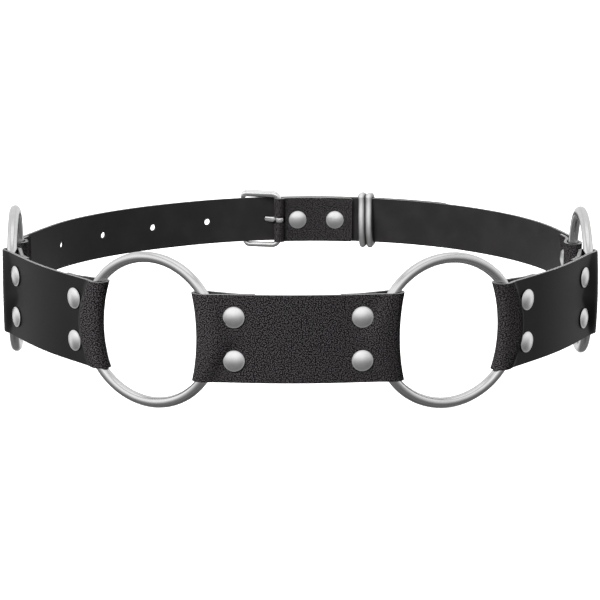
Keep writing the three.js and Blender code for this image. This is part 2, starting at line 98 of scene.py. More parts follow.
class Value:
    """A number or colour that changes over a surface, carried by a node's socket."""

    def __init__(self, graph: "Graph", socket: bpy.types.NodeSocket) -> None:
        """Keeps the socket and the graph that its maths nodes go into."""
        self.graph = graph
        self.socket = socket

    def __add__(self, other: "Value | float") -> "Value":
        """Returns the sum."""
        return self.graph.math("ADD", self, other)

    def __sub__(self, other: "Value | float") -> "Value":
        """Returns the difference."""
        return self.graph.math("SUBTRACT", self, other)

    def __mul__(self, other: "Value | float") -> "Value":
        """Returns the product."""
        return self.graph.math("MULTIPLY", self, other)

    def __rsub__(self, other: float) -> "Value":
        """Returns the difference from a number."""
        return self.graph.math("SUBTRACT", other, self)

    __radd__ = __add__
    __rmul__ = __mul__

    def between(self, low: float, high: float) -> "Value":
        """Returns 0 below low and 1 above high, with a smooth step from one to the other."""
        settings = {"interpolation_type": "SMOOTHSTEP"}
        return self.graph.node("MapRange", settings, Value=self, From_Min=low, From_Max=high)

    def spread(self, low: float, high: float) -> "Value":
        """Returns low where the value is 0 and high where it is 1."""
        return self * (high - low) + low


Input = Value | float | tuple[float, ...]


class Graph:
    """The nodes of one material, or of the world."""

    def __init__(self, owner: bpy.types.Material | bpy.types.World, shader: str) -> None:
        """Turns the owner's nodes on and finds its shader.

        Args:
            owner: the material or the world.
            shader: the shader node's name.
        """
        self.owner = owner
        owner.use_nodes = True
        self.tree = owner.node_tree
        self.shader = self.tree.nodes[shader]

    @classmethod
    def of_material(cls, name: str) -> "Graph":
        """Returns the graph of a new material with a Principled shader."""
        return cls(bpy.data.materials.new(name), "Principled BSDF")

    def node(self, kind: str, settings: dict[str, object] | None = None, output: int = 0,
             **inputs: Input) -> Value:
        """Adds a node and fills its sockets.

        Args:
            kind: the node's type without its ShaderNode prefix.
            settings: properties of the node, set before its sockets.
            output: which output to return.
            inputs: sockets by name, with _ for a space, or by index as i0, i1.

        Returns:
            The chosen output.
        """
        made = self.tree.nodes.new("ShaderNode" + kind)
        for key, setting in (settings or {}).items():
            if key == "stops":
                self.set_stops(made.color_ramp.elements, setting)
            else:
                setattr(made, key, setting)
        for key, given in inputs.items():
            index = int(key[1:]) if key[1:].isdigit() else key.replace("_", " ")
            self.fill(made.inputs[index], given)
        return Value(self, made.outputs[output])

    def set_stops(self, elements: bpy.types.ColorRampElements, stops: dict[float, float]) -> None:
        """Sets a ramp's stops; the first two take the places of those that a new ramp has.

        Args:
            elements: the ramp's stops.
            stops: the grey level of each place from 0 to 1.
        """
        for number, (spot, level) in enumerate(stops.items()):
            element = elements[number] if number < 2 else elements.new(spot)
            element.position, element.color = spot, grey(level)

    def fill(self, socket: bpy.types.NodeSocket, given: Input) -> None:
        """Links a value to a socket, or sets the socket's own number or colour.

        Args:
            socket: a node's input.
            given: what it gets.
        """
        if isinstance(given, Value):
            self.tree.links.new(given.socket, socket)
        else:
            socket.default_value = given

    def math(self, operation: str, *values: Value | float) -> Value:
        """Adds a Math node over up to three values and returns its result."""
        inputs = {f"i{index}": value for index, value in enumerate(values)}
        return self.node("Math", {"operation": operation}, **inputs)

    def mix(self, factor: Value, low: Value | Colour, high: Colour) -> Value:
        """Returns the colour low where the factor is 0 and high where it is 1."""
        return self.node("MixRGB", Fac=factor, Color1=low, Color2=high)

    def bump(self, height: Value, relief: float, strength: float = 1.0) -> Value:
        """Returns the surface's slant under a relief so many metres deep."""
        return self.node("Bump", Strength=strength, Distance=relief, Height=height)

    def mark(self, name: str) -> Value:
        """Returns a number that the piece's mesh holds for each point."""
        return self.node("Attribute", {"attribute_name": name}, output=2)

    def place(self) -> Value:
        """Returns the point on the surface in the belt's own metres."""
        return self.node("TexCoord", output=3)

    def noise(self, place: Value, size: float, detail: float = 3.0) -> Value:
        """Returns cloudy noise from 0 to 1 whose blots are about size wide."""
        return self.node("TexNoise", Vector=place, Scale=1 / size, Detail=detail)

    def dress(self, **inputs: Input) -> bpy.types.Material | bpy.types.World:
        """Fills the shader's sockets.

        Args:
            inputs: sockets by name, with _ for a space.

        Returns:
            The material or the world.
        """
        for key, given in inputs.items():
            self.fill(self.shader.inputs[key.replace("_", " ")], given)
        return self.owner


def grey(level: float) -> Colour:
    """Returns an opaque grey."""
    return (level, level, level, 1.0)


def black(level: float) -> Colour:
    """Returns the dyed leather's black, whose green is the level."""
    return (*(level * share for share in PLUM), 1.0)


# Materials

# Steps are where a smooth step over a noise or a distance starts and ends. Lengths are in metres.


@dataclass(frozen=True)
class GrainedLeather:
    """The top side of the leather, pressed with a fine pebble grain."""

    name: str = "grained_leather"
    valley_tone_and_shade_level: float = 0.0028
    level: float = 0.0115
    top_tone_and_highlight_level: float = 0.045
    pebble: float = 0.00061
    disorder: float = 0.9
    side_steps: Span = (0.05, 0.65)
    valley_tone_and_shade_steps: Span = (0.05, 0.6)
    top_tone_and_highlight_steps: Span = (0.5, 1.0)
    relief: float = 0.0002
    blot: float = 0.02
    roughness: Span = (0.6, 0.72)
    gloss: float = 0.03

    def material(self) -> bpy.types.Material:
        """Makes the material: rounded pebbles with narrow dark valleys and paler tops, partly the
        leather's own tone and partly painted shade in the valleys and painted highlight on the
        tops.

        The pebbles are laid out on the flat sheet, and the piece's press mark gives their height.

        Returns:
            The material.
        """
        graph = Graph.of_material(self.name)
        sheet = graph.node("UVMap", {"uv_map": SHEET})
        settings = {"voronoi_dimensions": "2D", "feature": "F1"}
        cells = graph.node("TexVoronoi", settings, Vector=sheet, Scale=1 / self.pebble,
                           Randomness=self.disorder)
        tops = 1 - cells.between(*self.side_steps)
        # Darker valleys and paler tops: part the leather's own tone, part painted shade and
        # painted highlight.
        colour = graph.mix(tops.between(*self.valley_tone_and_shade_steps), black(self.valley_tone_and_shade_level),
                           black(self.level))
        colour = graph.mix(tops.between(*self.top_tone_and_highlight_steps), colour, black(self.top_tone_and_highlight_level))
        rough = graph.noise(graph.place(), self.blot).spread(*self.roughness)
        normal = graph.bump(tops * graph.mark(PRESS), self.relief)
        return graph.dress(Base_Color=colour, Roughness=rough, Normal=normal,
                           Specular_IOR_Level=self.gloss)


@dataclass(frozen=True)
class SmoothLeather:
    """Leather ironed flat, or its flesh side: smooth, even and cloudy."""

    name: str
    levels: Span
    roughness: Span
    gloss: float
    mottle: float = 0.011
    mottle_detail: float = 4.0
    mottle_steps: Span = (0.35, 0.7)
    fibre: float = 0.0005
    relief: float = 0.00008
    relief_strength: float = 0.35

    def material(self) -> bpy.types.Material:
        """Makes the material: cloudy charcoal with a very fine fibre relief.

        Returns:
            The material.
        """
        graph = Graph.of_material(self.name)
        place = graph.place()
        clouds = graph.noise(place, self.mottle, self.mottle_detail)
        fibres = graph.noise(place, self.fibre)
        colour = graph.mix(clouds.between(*self.mottle_steps), *map(black, self.levels))
        normal = graph.bump(fibres, self.relief, self.relief_strength)
        return graph.dress(Base_Color=colour, Roughness=clouds.spread(*self.roughness),
                           Normal=normal, Specular_IOR_Level=self.gloss)


@dataclass(frozen=True)
class CutEdge:
    """The undyed cut edge of the leather, a light grey with short fibres."""

    name: str = "cut_edge"
    levels: Span = (0.05, 0.1)
    fleck: float = 0.0006
    fleck_steps: Span = (0.3, 0.7)
    relief: float = 0.0001
    relief_strength: float = 0.4
    roughness: float = 0.75

    def material(self) -> bpy.types.Material:
        """Makes the material: two greys in fine flecks, and a matt, slightly rough surface.

        Returns:
            The material.
        """
        graph = Graph.of_material(self.name)
        flecks = graph.noise(graph.place(), self.fleck)
        colour = graph.mix(flecks.between(*self.fleck_steps), *map(grey, self.levels))
        normal = graph.bump(flecks, self.relief, self.relief_strength)
        return graph.dress(Base_Color=colour, Roughness=self.roughness, Normal=normal)


@dataclass(frozen=True)
class SatinMetal:
    """Satin steel whose gloss drifts a little.

    Where lines is above 0, fine drawn lines run along its wire, and their size is a share of the
    wire's radius. The dull, painted shade and line levels are shares of the metal's own level.
    """

    name: str
    level: float
    roughness: Span
    drift: float = 0.0035
    drift_steps: Span = (0.3, 0.75)
    dull_level: float = 0.94
    painted_shade_level: float = 0.12
    lines: float = 0.0
    line_size: float = 0.3
    line_steps: Span = (0.35, 0.7)
    line_share: float = 0.5
    line_level: float = 0.8
    line_roughness: float = 0.06
    line_relief: float = 0.0002

    def material(self) -> bpy.types.Material:
        """Makes the material: bright metal that goes dark where the piece's painted shade mark is
        high.

        Returns:
            The material.
        """
        graph = Graph.of_material(self.name)
        drift = graph.noise(graph.place(), self.drift)
        colour = graph.mix(drift.between(*self.drift_steps), grey(self.level * self.dull_level),
                           grey(self.level))
        # Painted shade: the metal goes dark where the piece's painted shade mark is high.
        colour = graph.mix(graph.mark(PAINTED_SHADE), colour, grey(self.level * self.painted_shade_level))
        inputs = {"Metallic": 1.0, "Roughness": drift.spread(*self.roughness)}
        if self.lines:
            roll = graph.node("Attribute", {"attribute_name": ROLL}, output=1)
            drawn = graph.noise(roll, self.line_size)
            inputs["Roughness"] += drawn * self.line_roughness
            inputs["Normal"] = graph.bump(drawn, self.line_relief, self.lines)
            colour = graph.mix(drawn.between(*self.line_steps) * self.line_share, colour,
                               grey(self.level * self.line_level))
        return graph.dress(Base_Color=colour, **inputs)


class Finish(IntEnum):
    """The finishes that a face of a leather piece may have, in the order of LEATHERS."""

    GRAIN = 0
    FLESH = 1
    EDGE = 2
    FACE = 3


class Slot(Enum):
    """The material slots, which choose a piece's finishes."""

    LEATHER = "leather"
    RINGS = "rings"
    RIVETS = "rivets"
    BUCKLE = "buckle"


LEATHERS = (
    GrainedLeather(),
    SmoothLeather("flesh_leather", levels=(0.005, 0.0075), roughness=(0.5, 0.62), gloss=0.4),
    CutEdge(),
    SmoothLeather("smooth_leather", levels=(0.002, 0.003), roughness=(0.38, 0.46), gloss=0.165,
                  mottle=0.03),
)
METALS = {
    Slot.RINGS: SatinMetal("ring_metal", 0.8, (0.14, 0.2), lines=0.2),
    Slot.RIVETS: SatinMetal("rivet_metal", 0.97, (0.34, 0.41), drift=0.0025),
    Slot.BUCKLE: SatinMetal("buckle_metal", 0.95, (0.16, 0.24), drift=0.005),
}
KEEPER_METAL = SatinMetal("keeper_metal", 1.0, (0.36, 0.44), drift=0.004)


# Plan geometry


def direction(angle: Array | float) -> Array:
    """Returns the unit vector at an angle in radians, along the last axis."""
    return np.stack([np.cos(angle), np.sin(angle)], axis=-1)


def full_turn(count: int) -> Array:
    """Returns evenly spaced angles round a full turn."""
    return np.linspace(0, 2 * math.pi, count, endpoint=False)


@dataclass(frozen=True)
class Place:
    """A spot in plan with a heading: u runs along it, and w to the left of it, into the belt."""

    origin: Array
    angle: float

    @property
    def axes(self) -> Array:
        """Returns the unit vectors along and inward, a row for each."""
        along = direction(self.angle)
        return np.array([along, [-along[1], along[0]]])

    def way(self, u: Array | float, w: Array | float) -> Array:
        """Returns the plan vectors of u along and w inward."""
        return np.stack(np.broadcast_arrays(u, w), axis=-1) @ self.axes

    def at(self, u: Array | float, w: Array | float) -> Array:
        """Returns the plan points at distances u along and w inward."""
        return self.origin + self.way(u, w)

    def local(self, point: Array) -> Array:
        """Returns a plan point's own u and w."""
        return (point - self.origin) @ self.axes.T


def arc(centre: Array, radius: Array | float, start: Array, end: Array, steps: int) -> Array:
    """Carries a point round a centre: centre plus radius times the unit vector of each angle.

    Args:
        centre: one centre for each row.
        radius: one radius for each row.
        start: the first angle of each row.
        end: the last angle of each row.
        steps: how many steps lie between them.

    Returns:
        Points by row, step and axis.
    """
    angles = np.linspace(start, end, steps + 1, axis=-1)
    reach = np.broadcast_to(radius, np.shape(start))[:, None, None]
    return centre[:, None, :] + reach * direction(angles)


# Steps round a wire and round a fold's end, the least way round a wire on either side, and the
# angle that a fold's end leaves free beside it
WIRE_STEPS = 8
TURN_STEPS = 30
LEAST_WRAP = math.radians(8)
TURN_INSET = 0.06


def fold_line(outer: Array, inner: Array, wire: Array, turn: Array, radius: Array,
              turn_radius: Array) -> Array:
    """Runs leather round a wire and a fold's end, in rows.

    Each row comes from its outer point along the tangent to the circle round the wire, passes on
    to the circle of the turn, goes half round it and returns inside in the same way.

    Args:
        outer: where the outer layer leaves the flat, by row.
        inner: where the inner layer reaches the flat again, by row.
        wire: centre of the wire, by row.
        turn: centre of the fold's end, by row.
        radius: bend of the leather's middle round the wire, by row.
        turn_radius: bend of the leather's middle at the fold's end, by row.

    Returns:
        Points by row, step and axis.
    """
    right = math.pi / 2
    lean = np.arctan2(*(turn - wire).T[::-1])

    def tangent(point: Array, side: int) -> Array:
        """Finds the angle at which a line from a point touches the wire's circle.

        Args:
            point: where the line starts, by row.
            side: the circle's side, -1 for its outer one and +1 for its inner one.

        Returns:
            The angle of each row.
        """
        reach = wire - point
        lift = np.arcsin(np.minimum(radius / np.linalg.norm(reach, axis=-1), 1))
        return np.arctan2(reach[:, 1], reach[:, 0]) + side * (lift + right)

    start = np.minimum(tangent(outer, -1), lean - right - LEAST_WRAP)
    end = np.maximum(tangent(inner, 1), lean + right + LEAST_WRAP)
    return np.concatenate([
        outer[:, None],
        arc(wire, radius, start, lean - right, WIRE_STEPS),
        arc(turn, turn_radius, lean - right + TURN_INSET, lean + right - TURN_INSET, TURN_STEPS),
        arc(wire, radius, lean + right, end, WIRE_STEPS),
        inner[:, None],
    ], axis=1)


def running_lengths(lines: Array) -> Array:
    """Returns the length of each line up to each of its points."""
    steps = np.linalg.norm(np.diff(lines, axis=-2), axis=-1)
    return np.concatenate([np.zeros_like(steps[..., :1]), np.cumsum(steps, axis=-1)], axis=-1)


def along_line(wanted: Array | float, lengths: Array, line: Array) -> Array:
    """Returns what a line holds by point and axis, at wanted lengths along it."""
    return np.stack([np.interp(wanted, lengths, line[:, axis]) for axis in (0, 1)], axis=-1)


def resample(rows: Array, count: int) -> Array:
    """Spaces each row's points evenly by its running length.

    Args:
        rows: points by row, step and axis.
        count: how many points each row gets.

    Returns:
        Points by row, step and axis.
    """
    wanted = np.linspace(0, 1, count)
    return np.array([along_line(wanted * lengths[-1], lengths, row)
                     for lengths, row in zip(running_lengths(rows), rows)])


def ease(rows: Array, passes: int, axis: int) -> Array:
    """Softens a grid along one axis: each pass gives a point half itself, half its neighbours.

    Args:
        rows: the grid; the first and last points along the axis stay.
        passes: how many times it is softened.
        axis: which axis.

    Returns:
        The softened grid.
    """
    moved = np.moveaxis(rows.copy(), axis, 0)
    for _ in range(passes):
        moved[1:-1] = moved[1:-1] / 2 + (moved[:-2] + moved[2:]) / 4
    return np.moveaxis(moved, 0, axis)


def right_of(rows: Array) -> Array:
    """Finds the unit vector to the right of each row at each of its points.

    Args:
        rows: points by row, step and axis.

    Returns:
        Vectors by row, step and axis.
    """
    heading = np.gradient(rows, axis=1)
    heading /= np.linalg.norm(heading, axis=-1, keepdims=True)
    return np.stack([heading[..., 1], -heading[..., 0]], axis=-1)


def rounded_rectangle(width: float, height: float, radii: Span, steps: int,
                      between: int = 1) -> tuple[Array, Array]:
    """Walks round a rectangle with rounded corners.

    Each corner is its centre plus its radius times the unit vectors of a quarter turn, and
    straight lines join the corners.

    Args:
        width: of the rectangle.
        height: of the rectangle.
        radii: of its two far corners and of its two near ones.
        steps: in each corner.
        between: steps along each straight side.

    Returns:
        The path's points and the way out at each of them.
    """
    turn = np.radians(np.arange(4)[:, None] * 90 + np.linspace(0, 90, steps + 1))
    signs = np.sign(direction(np.radians(np.arange(4) * 90 + 45)))
    radius = np.where(signs[:, :1] > 0, *radii)
    centres = signs * (np.array([width, height]) / 2 - radius)
    outs = direction(turn)
    spots = centres[:, None] + radius[:, None] * outs
    share = np.linspace(0, 1, between + 1)[1:-1, None]
    onward = np.roll(spots[:, 0], -1, axis=0)[:, None]
    straight = spots[:, -1:] + (onward - spots[:, -1:]) * share
    path = np.concatenate([spots, straight], axis=1)
    level = np.broadcast_to(outs[:, -1:], straight.shape)
    return path.reshape(-1, 2), np.concatenate([outs, level], axis=1).reshape(-1, 2)


# Meshes


@dataclass
class Skin:
    """Points in millimetres and faces of one piece, gathered grid by grid."""

    points: list[Array] = field(default_factory=list)
    faces: list[NDArray[np.int64]] = field(default_factory=list)
    finishes: list[NDArray[np.int64]] = field(default_factory=list)
    marks: dict[str, list[Array]] = field(default_factory=dict)
    count: int = 0

    def grid(self, points: Array, finish: Array | int = 0,
             closed: tuple[bool, bool] = (False, False),
             marks: dict[str, Array] | None = None) -> None:
        """Adds a grid of points by row and column, with a face between each four.

        Args:
            points: by row, column and axis.
            finish: the finish's number, for all faces or by row and column.
            closed: whether the last row, and the last column, meets the first.
            marks: numbers or vectors for the shader by name, each by row and column.
        """
        rows, columns = points.shape[:2]
        index = np.arange(rows * columns).reshape(rows, columns) + self.count
        if closed[0]:
            index = np.concatenate([index, index[:1]])
        if closed[1]:
            index = np.concatenate([index, index[:, :1]], axis=1)
        quads = np.stack([index[:-1, :-1], index[:-1, 1:], index[1:, 1:], index[1:, :-1]], axis=-1)
        numbers = np.broadcast_to(finish, quads.shape[:2])
        self.points.append(points.reshape(-1, 3))
        self.faces.append(quads.reshape(-1, 4))
        self.finishes.append(numbers.reshape(-1).astype(np.int64))
        self.count += rows * columns
        for name, values in (marks or {}).items():
            self.marks.setdefault(name, []).append(values.reshape(rows * columns, -1))

    def cap(self, ring: Array, finish: int = 0) -> None:
        """Closes a ring of points with a fan round their middle."""
        middle = np.broadcast_to(ring.mean(axis=0), ring.shape)
        self.grid(np.stack([ring, middle]), finish, (False, True))

    def mesh(self, name: str, shift: Array, crease: float) -> bpy.types.Mesh:
        """Makes the mesh in metres, welded, facing out and with its sharp edges marked.

        Args:
            name: the mesh's name.
            shift: from the plan's own point to the row's origin, in millimetres.
            crease: the angle in degrees from which an edge is sharp.

        Returns:
            The mesh.
        """
        mesh = bpy.data.meshes.new(name)
        points = (np.concatenate(self.points) + shift) * MM
        mesh.from_pydata(points.tolist(), [], np.concatenate(self.faces).tolist())
        mesh.polygons.foreach_set("material_index", np.concatenate(self.finishes))
        mesh.polygons.foreach_set("use_smooth", np.ones(len(mesh.polygons), dtype=bool))
        for mark, parts in self.marks.items():
            self.lay_mark(mesh, mark, np.concatenate(parts))
        shell = bmesh.new()
        shell.from_mesh(mesh)
        bmesh.ops.remove_doubles(shell, verts=shell.verts, dist=WELD)
        bmesh.ops.dissolve_degenerate(shell, edges=shell.edges, dist=SLIVER)
        bmesh.ops.recalc_face_normals(shell, faces=shell.faces)
        shell.to_mesh(mesh)
        shell.free()
        mesh.set_sharp_from_angle(angle=math.radians(crease))
        mesh.update()
        return mesh

    def lay_mark(self, mesh: bpy.types.Mesh, name: str, values: Array) -> None:
        """Gives the mesh a number or a vector for each point, or a UV map of points in metres.

        Args:
            mesh: the mesh.
            name: the mark's name.
            values: by point and axis; with two axes they are places on the flat sheet.
        """
        if values.shape[1] == 2:
            corners = np.empty(len(mesh.loops), dtype=np.int32)
            mesh.loops.foreach_get("vertex_index", corners)
            mesh.uv_layers.new(name=name).data.foreach_set("uv", (values * MM)[corners].ravel())
        else:
            kind, key = ("FLOAT_VECTOR", "vector") if values.shape[1] == 3 else ("FLOAT", "value")
            mesh.attributes.new(name, kind, "POINT").data.foreach_set(key, values.ravel())


def leather_skin(rows: Array, heights: Array, thickness: float, press: Array) -> Skin:
    """Gives leather its thickness: each point of its middle moved half of it to either side.

    Args:
        rows: the middle of the leather in plan, by level, step and axis.
        heights: the height of each point, by level and step.
        thickness: of the leather.
        press: the grain's strength, by step; where it is 0 the leather is ironed flat.

    Returns:
        A closed skin with grain on the right, flesh on the left, cut edges above and below, and
        ends in the dark flesh finish, painted shade for the shadow at a strap's end.
    """
    across = right_of(rows) * thickness / 2
    grain = upright(rows + across, heights)
    flesh = upright(rows - across, heights)
    levels = len(rows)
    loop = np.concatenate([grain, flesh[::-1]]).swapaxes(0, 1)
    column = np.arange(2 * levels)
    top_side = np.where(press[:-1, None] > 0, Finish.GRAIN, Finish.FACE)
    finish = np.where(column < levels - 1, top_side, Finish.FLESH)
    finish[:, [levels - 1, 2 * levels - 1]] = Finish.EDGE
    run = np.broadcast_to(running_lengths(rows[levels // 2]), heights.shape)
    sheet = np.stack([run, heights], axis=-1)
    skin = Skin()
    skin.grid(loop, finish, (False, True), {
        PRESS: np.broadcast_to(press[:, None], loop.shape[:2]),
        SHEET: np.concatenate([sheet, sheet[::-1]]).swapaxes(0, 1)})
    # The ends take the dark flesh finish: painted shade at the strap's end.
    for end in (0, -1):
        cap = np.stack([grain[:, end], flesh[:, end]])
        skin.grid(cap, Finish.FLESH, marks={
            PRESS: np.full(cap.shape[:2], press[end]),
            SHEET: np.stack([sheet[:, end], sheet[:, end]])})
    return skin


def swept_skin(centres: Array, outs: Array, across: Array, profile: Array) -> Skin:
    """Carries a closed profile round a closed path.

    Each point is a centre plus the profile's second number times the way out there, plus its first
    number times the path's fixed way across.

    Args:
        centres: by step and axis.
        outs: the way out at each step.
        across: the way across.
        profile: pairs of numbers, by point, or by step and point where it changes on the way.

    Returns:
        A closed skin.
    """
    points = centres[:, None] + profile[..., 1:] * outs[:, None] + profile[..., :1] * across
    turned = profile / np.linalg.norm(profile, axis=-1, keepdims=True)
    skin = Skin()
    skin.grid(points, 0, (True, True), {ROLL: np.broadcast_to(upright(turned, 0.0), points.shape)})
    return skin


def upright(plan: Array, heights: Array | float) -> Array:
    """Returns plan points with their heights as 3-D points."""
    heights = np.broadcast_to(heights, plan.shape[:-1])
    return np.concatenate([plan, heights[..., None]], axis=-1)


def block(outline: Array, height: float, finish: int) -> Skin:
    """Raises an outline in plan to a closed block, centred on the belt's middle height.

    Args:
        outline: plan points round the block.
        height: of the block.
        finish: the finish's number.

    Returns:
        The block's skin.
    """
    wall = np.stack([upright(outline, side * height / 2) for side in (-1, 1)])
    skin = Skin()
    skin.grid(wall, finish, (False, True))
    half = len(outline) // 2
    for level in wall:
        skin.grid(np.stack([level[:half], level[half:][::-1]]), finish)
    return skin


# The belt's own sizes and plan


@dataclass(frozen=True)
class Sizes:
    """Sizes that more than one sub-assembly needs, in millimetres."""

    leather: float = 1.5
    air: float = 0.3
    seat: float = 0.25
    wire_air: float = 0.35
    panel_height: float = 40.0
    strap_height: float = 24.0
    ring_radius: float = 33.5
    ring_wire: float = 2.5
    fold_at: float = 42.4
    fold_depth: float = 7.1
    seam_gap: float = 1.1

    @property
    def layer(self) -> float:
        """Returns the depth of one layer of leather with the air beside it."""
        return self.leather + self.air

    def chord(self, height: Array | float) -> Array | float:
        """Returns half the ring's width at a height above its middle."""
        return np.sqrt(self.ring_radius ** 2 - np.square(height))

    def wire_bend(self, height: Array | float) -> Array | float:
        """Returns the bend of the leather's middle round the ring's slanted wire at a height."""
        slanted = self.ring_wire * self.ring_radius / self.chord(height)
        return np.hypot(self.ring_wire, slanted) / math.sqrt(2) + self.wire_air + self.leather / 2


@dataclass(frozen=True)
class SideTurns:
    """The headings of one side's pieces, in degrees from the +X direction."""

    front_ring: float
    panel: float
    side_ring: float


@dataclass
class Layout:
    """Where the pieces lie in plan: they follow one another from the front panel to both sides."""

    sizes: Sizes
    front_y: float = -95.3
    front_turn: float = 0.9
    left: SideTurns = SideTurns(-28.1, -56.3, -87.2)
    right: SideTurns = SideTurns(22.5, 56.8, 91.0)
    seam: tuple[tuple[float, float], ...] = (
        (137.2, 88.1), (126.8, 116.6), (109.6, 142.4), (84.9, 165.0), (59.0, 179.1), (30.0, 187.2),
        (4.5, 189.0), (-22.0, 185.8), (-47.8, 177.8), (-79.5, 160.3), (-104.0, 139.6),
        (-121.0, 117.6), (-134.5, 87.8))
    lean_right: float = 14.0
    lean_left: float = 18.0
    seam_steps: int = 80
    seam_passes: int = 60
    back_y: float = 150.0
    places: dict[str, Place] = field(default_factory=dict)

    def __post_init__(self) -> None:
        """Places the panels, the rings and the seam line at the back."""
        front = Place(np.array([0.0, self.front_y]), math.radians(self.front_turn))
        self.places["front_panel"] = front
        for side, name, turns in ((-1, "left", self.left), (1, "right", self.right)):
            ring = self.ring_beyond(front, side, turns.front_ring)
            panel = self.panel_beyond(ring, side, turns.panel)
            self.places[f"ring_front_{name}"] = ring
            self.places[f"{name}_panel"] = panel
            self.places[f"ring_side_{name}"] = self.ring_beyond(panel, side, turns.side_ring)
        line = self.trace_seam()
        self.seam_points = ease(line[None], self.seam_passes, 1)[0]
        self.seam_lengths = running_lengths(self.seam_points)
        self.seam_length = float(self.seam_lengths[-1])
        self.seam_inward = -right_of(self.seam_points[None])[0]

    def ring_beyond(self, panel: Place, side: int, turn: float) -> Place:
        """Finds the place of the ring in the fold at a panel's side.

        Args:
            panel: the panel's place.
            side: -1 or +1.
            turn: the ring's heading in degrees.

        Returns:
            The place.
        """
        angle = math.radians(turn)
        hold = panel.at(side * self.sizes.fold_at, self.sizes.fold_depth)
        edge = self.sizes.chord(self.sizes.panel_height / 2)
        return Place(Place(hold, angle).at(side * edge, 0), angle)

    def panel_beyond(self, ring: Place, side: int, turn: float) -> Place:
        """Finds the place of the panel whose fold holds a ring's far wire.

        Args:
            ring: the ring's place.
            side: -1 or +1.
            turn: the panel's heading in degrees.

        Returns:
            The place.
        """
        angle = math.radians(turn)
        hold = ring.at(side * self.sizes.chord(self.sizes.panel_height / 2), 0)
        depth = -self.sizes.fold_depth
        return Place(Place(hold, angle).at(side * self.sizes.fold_at, depth), angle)

    def wire(self, side: int) -> Place:
        """Returns the side ring's wire at the straps' edges, heading as the ring does."""
        ring = self.places["ring_side_right" if side > 0 else "ring_side_left"]
        return Place(ring.at(side * self.sizes.chord(self.sizes.strap_height / 2), 0), ring.angle)

    def trace_seam(self) -> Array:
        """Draws the seam as a centripetal Catmull-Rom spline through its points.

        On each stretch the point is a blend of blends of its four nearest points, weighted by
        knots spaced by the square roots of the distances.

        Returns:
            Plan points from the right ring round to the left ring.
        """
        bend = self.sizes.wire_bend(self.sizes.strap_height / 2)
        half = self.sizes.leather / 2
        right_way = direction(math.radians(self.lean_right))
        left_way = direction(math.pi - math.radians(self.lean_left))
        start = self.wire(1).origin + (bend + half + self.sizes.seam_gap) * right_way
        end = self.wire(-1).origin + (bend - half) * left_way
        points = np.array([start, *self.seam, end])
        before, after = 2 * points[:1] - points[1:2], 2 * points[-1:] - points[-2:-1]
        points = np.concatenate([before, points, after])
        gaps = np.linalg.norm(np.diff(points, axis=0), axis=1)
        knots = np.concatenate([[0], np.cumsum(np.sqrt(gaps))])
        spots = []
        for i in range(1, len(points) - 2):
            t = np.linspace(knots[i], knots[i + 1], self.seam_steps, endpoint=False)[:, None]
            k, p = knots[i - 1:i + 3], points[i - 1:i + 3]
            a = [blend(t, k[j], k[j + 1], p[j], p[j + 1]) for j in range(3)]
            b = [blend(t, k[j], k[j + 2], a[j], a[j + 1]) for j in range(2)]
            spots.append(blend(t, k[1], k[2], b[0], b[1]))
        return np.concatenate([*spots, points[-2:-1]])

    def on_seam(self, distance: Array | float, depth: Array | float) -> Array:
        """Finds points beside the seam: its own point plus the depth times the way inward there.

        Args:
            distance: along the seam.
            depth: inward of it.

        Returns:
            Plan points.
        """
        inward = along_line(distance, self.seam_lengths, self.seam_inward)
        point = along_line(distance, self.seam_lengths, self.seam_points)
        return point + np.asarray(depth)[..., None] * inward

    def seam_place(self, distance: float, depth: float = 0.0) -> Place:
        """Returns the place on the seam at a distance, heading to the left."""
        inward = along_line(distance, self.seam_lengths, self.seam_inward)
        return Place(self.on_seam(distance, depth), math.atan2(-inward[0], inward[1]))

    def seam_distance(self, x: float) -> float:
        """Returns how far along the seam its line at the back crosses a given x."""
        back = self.seam_points[:, 1] > self.back_y
        return float(np.interp(-x, -self.seam_points[back, 0], self.seam_lengths[back]))


def blend(t: Array, start: float, end: float, first: Array, last: Array) -> Array:
    """Returns first where t is start, last where it is end, and their blend between."""
    return ((end - t) * first + (t - start) * last) / (end - start)


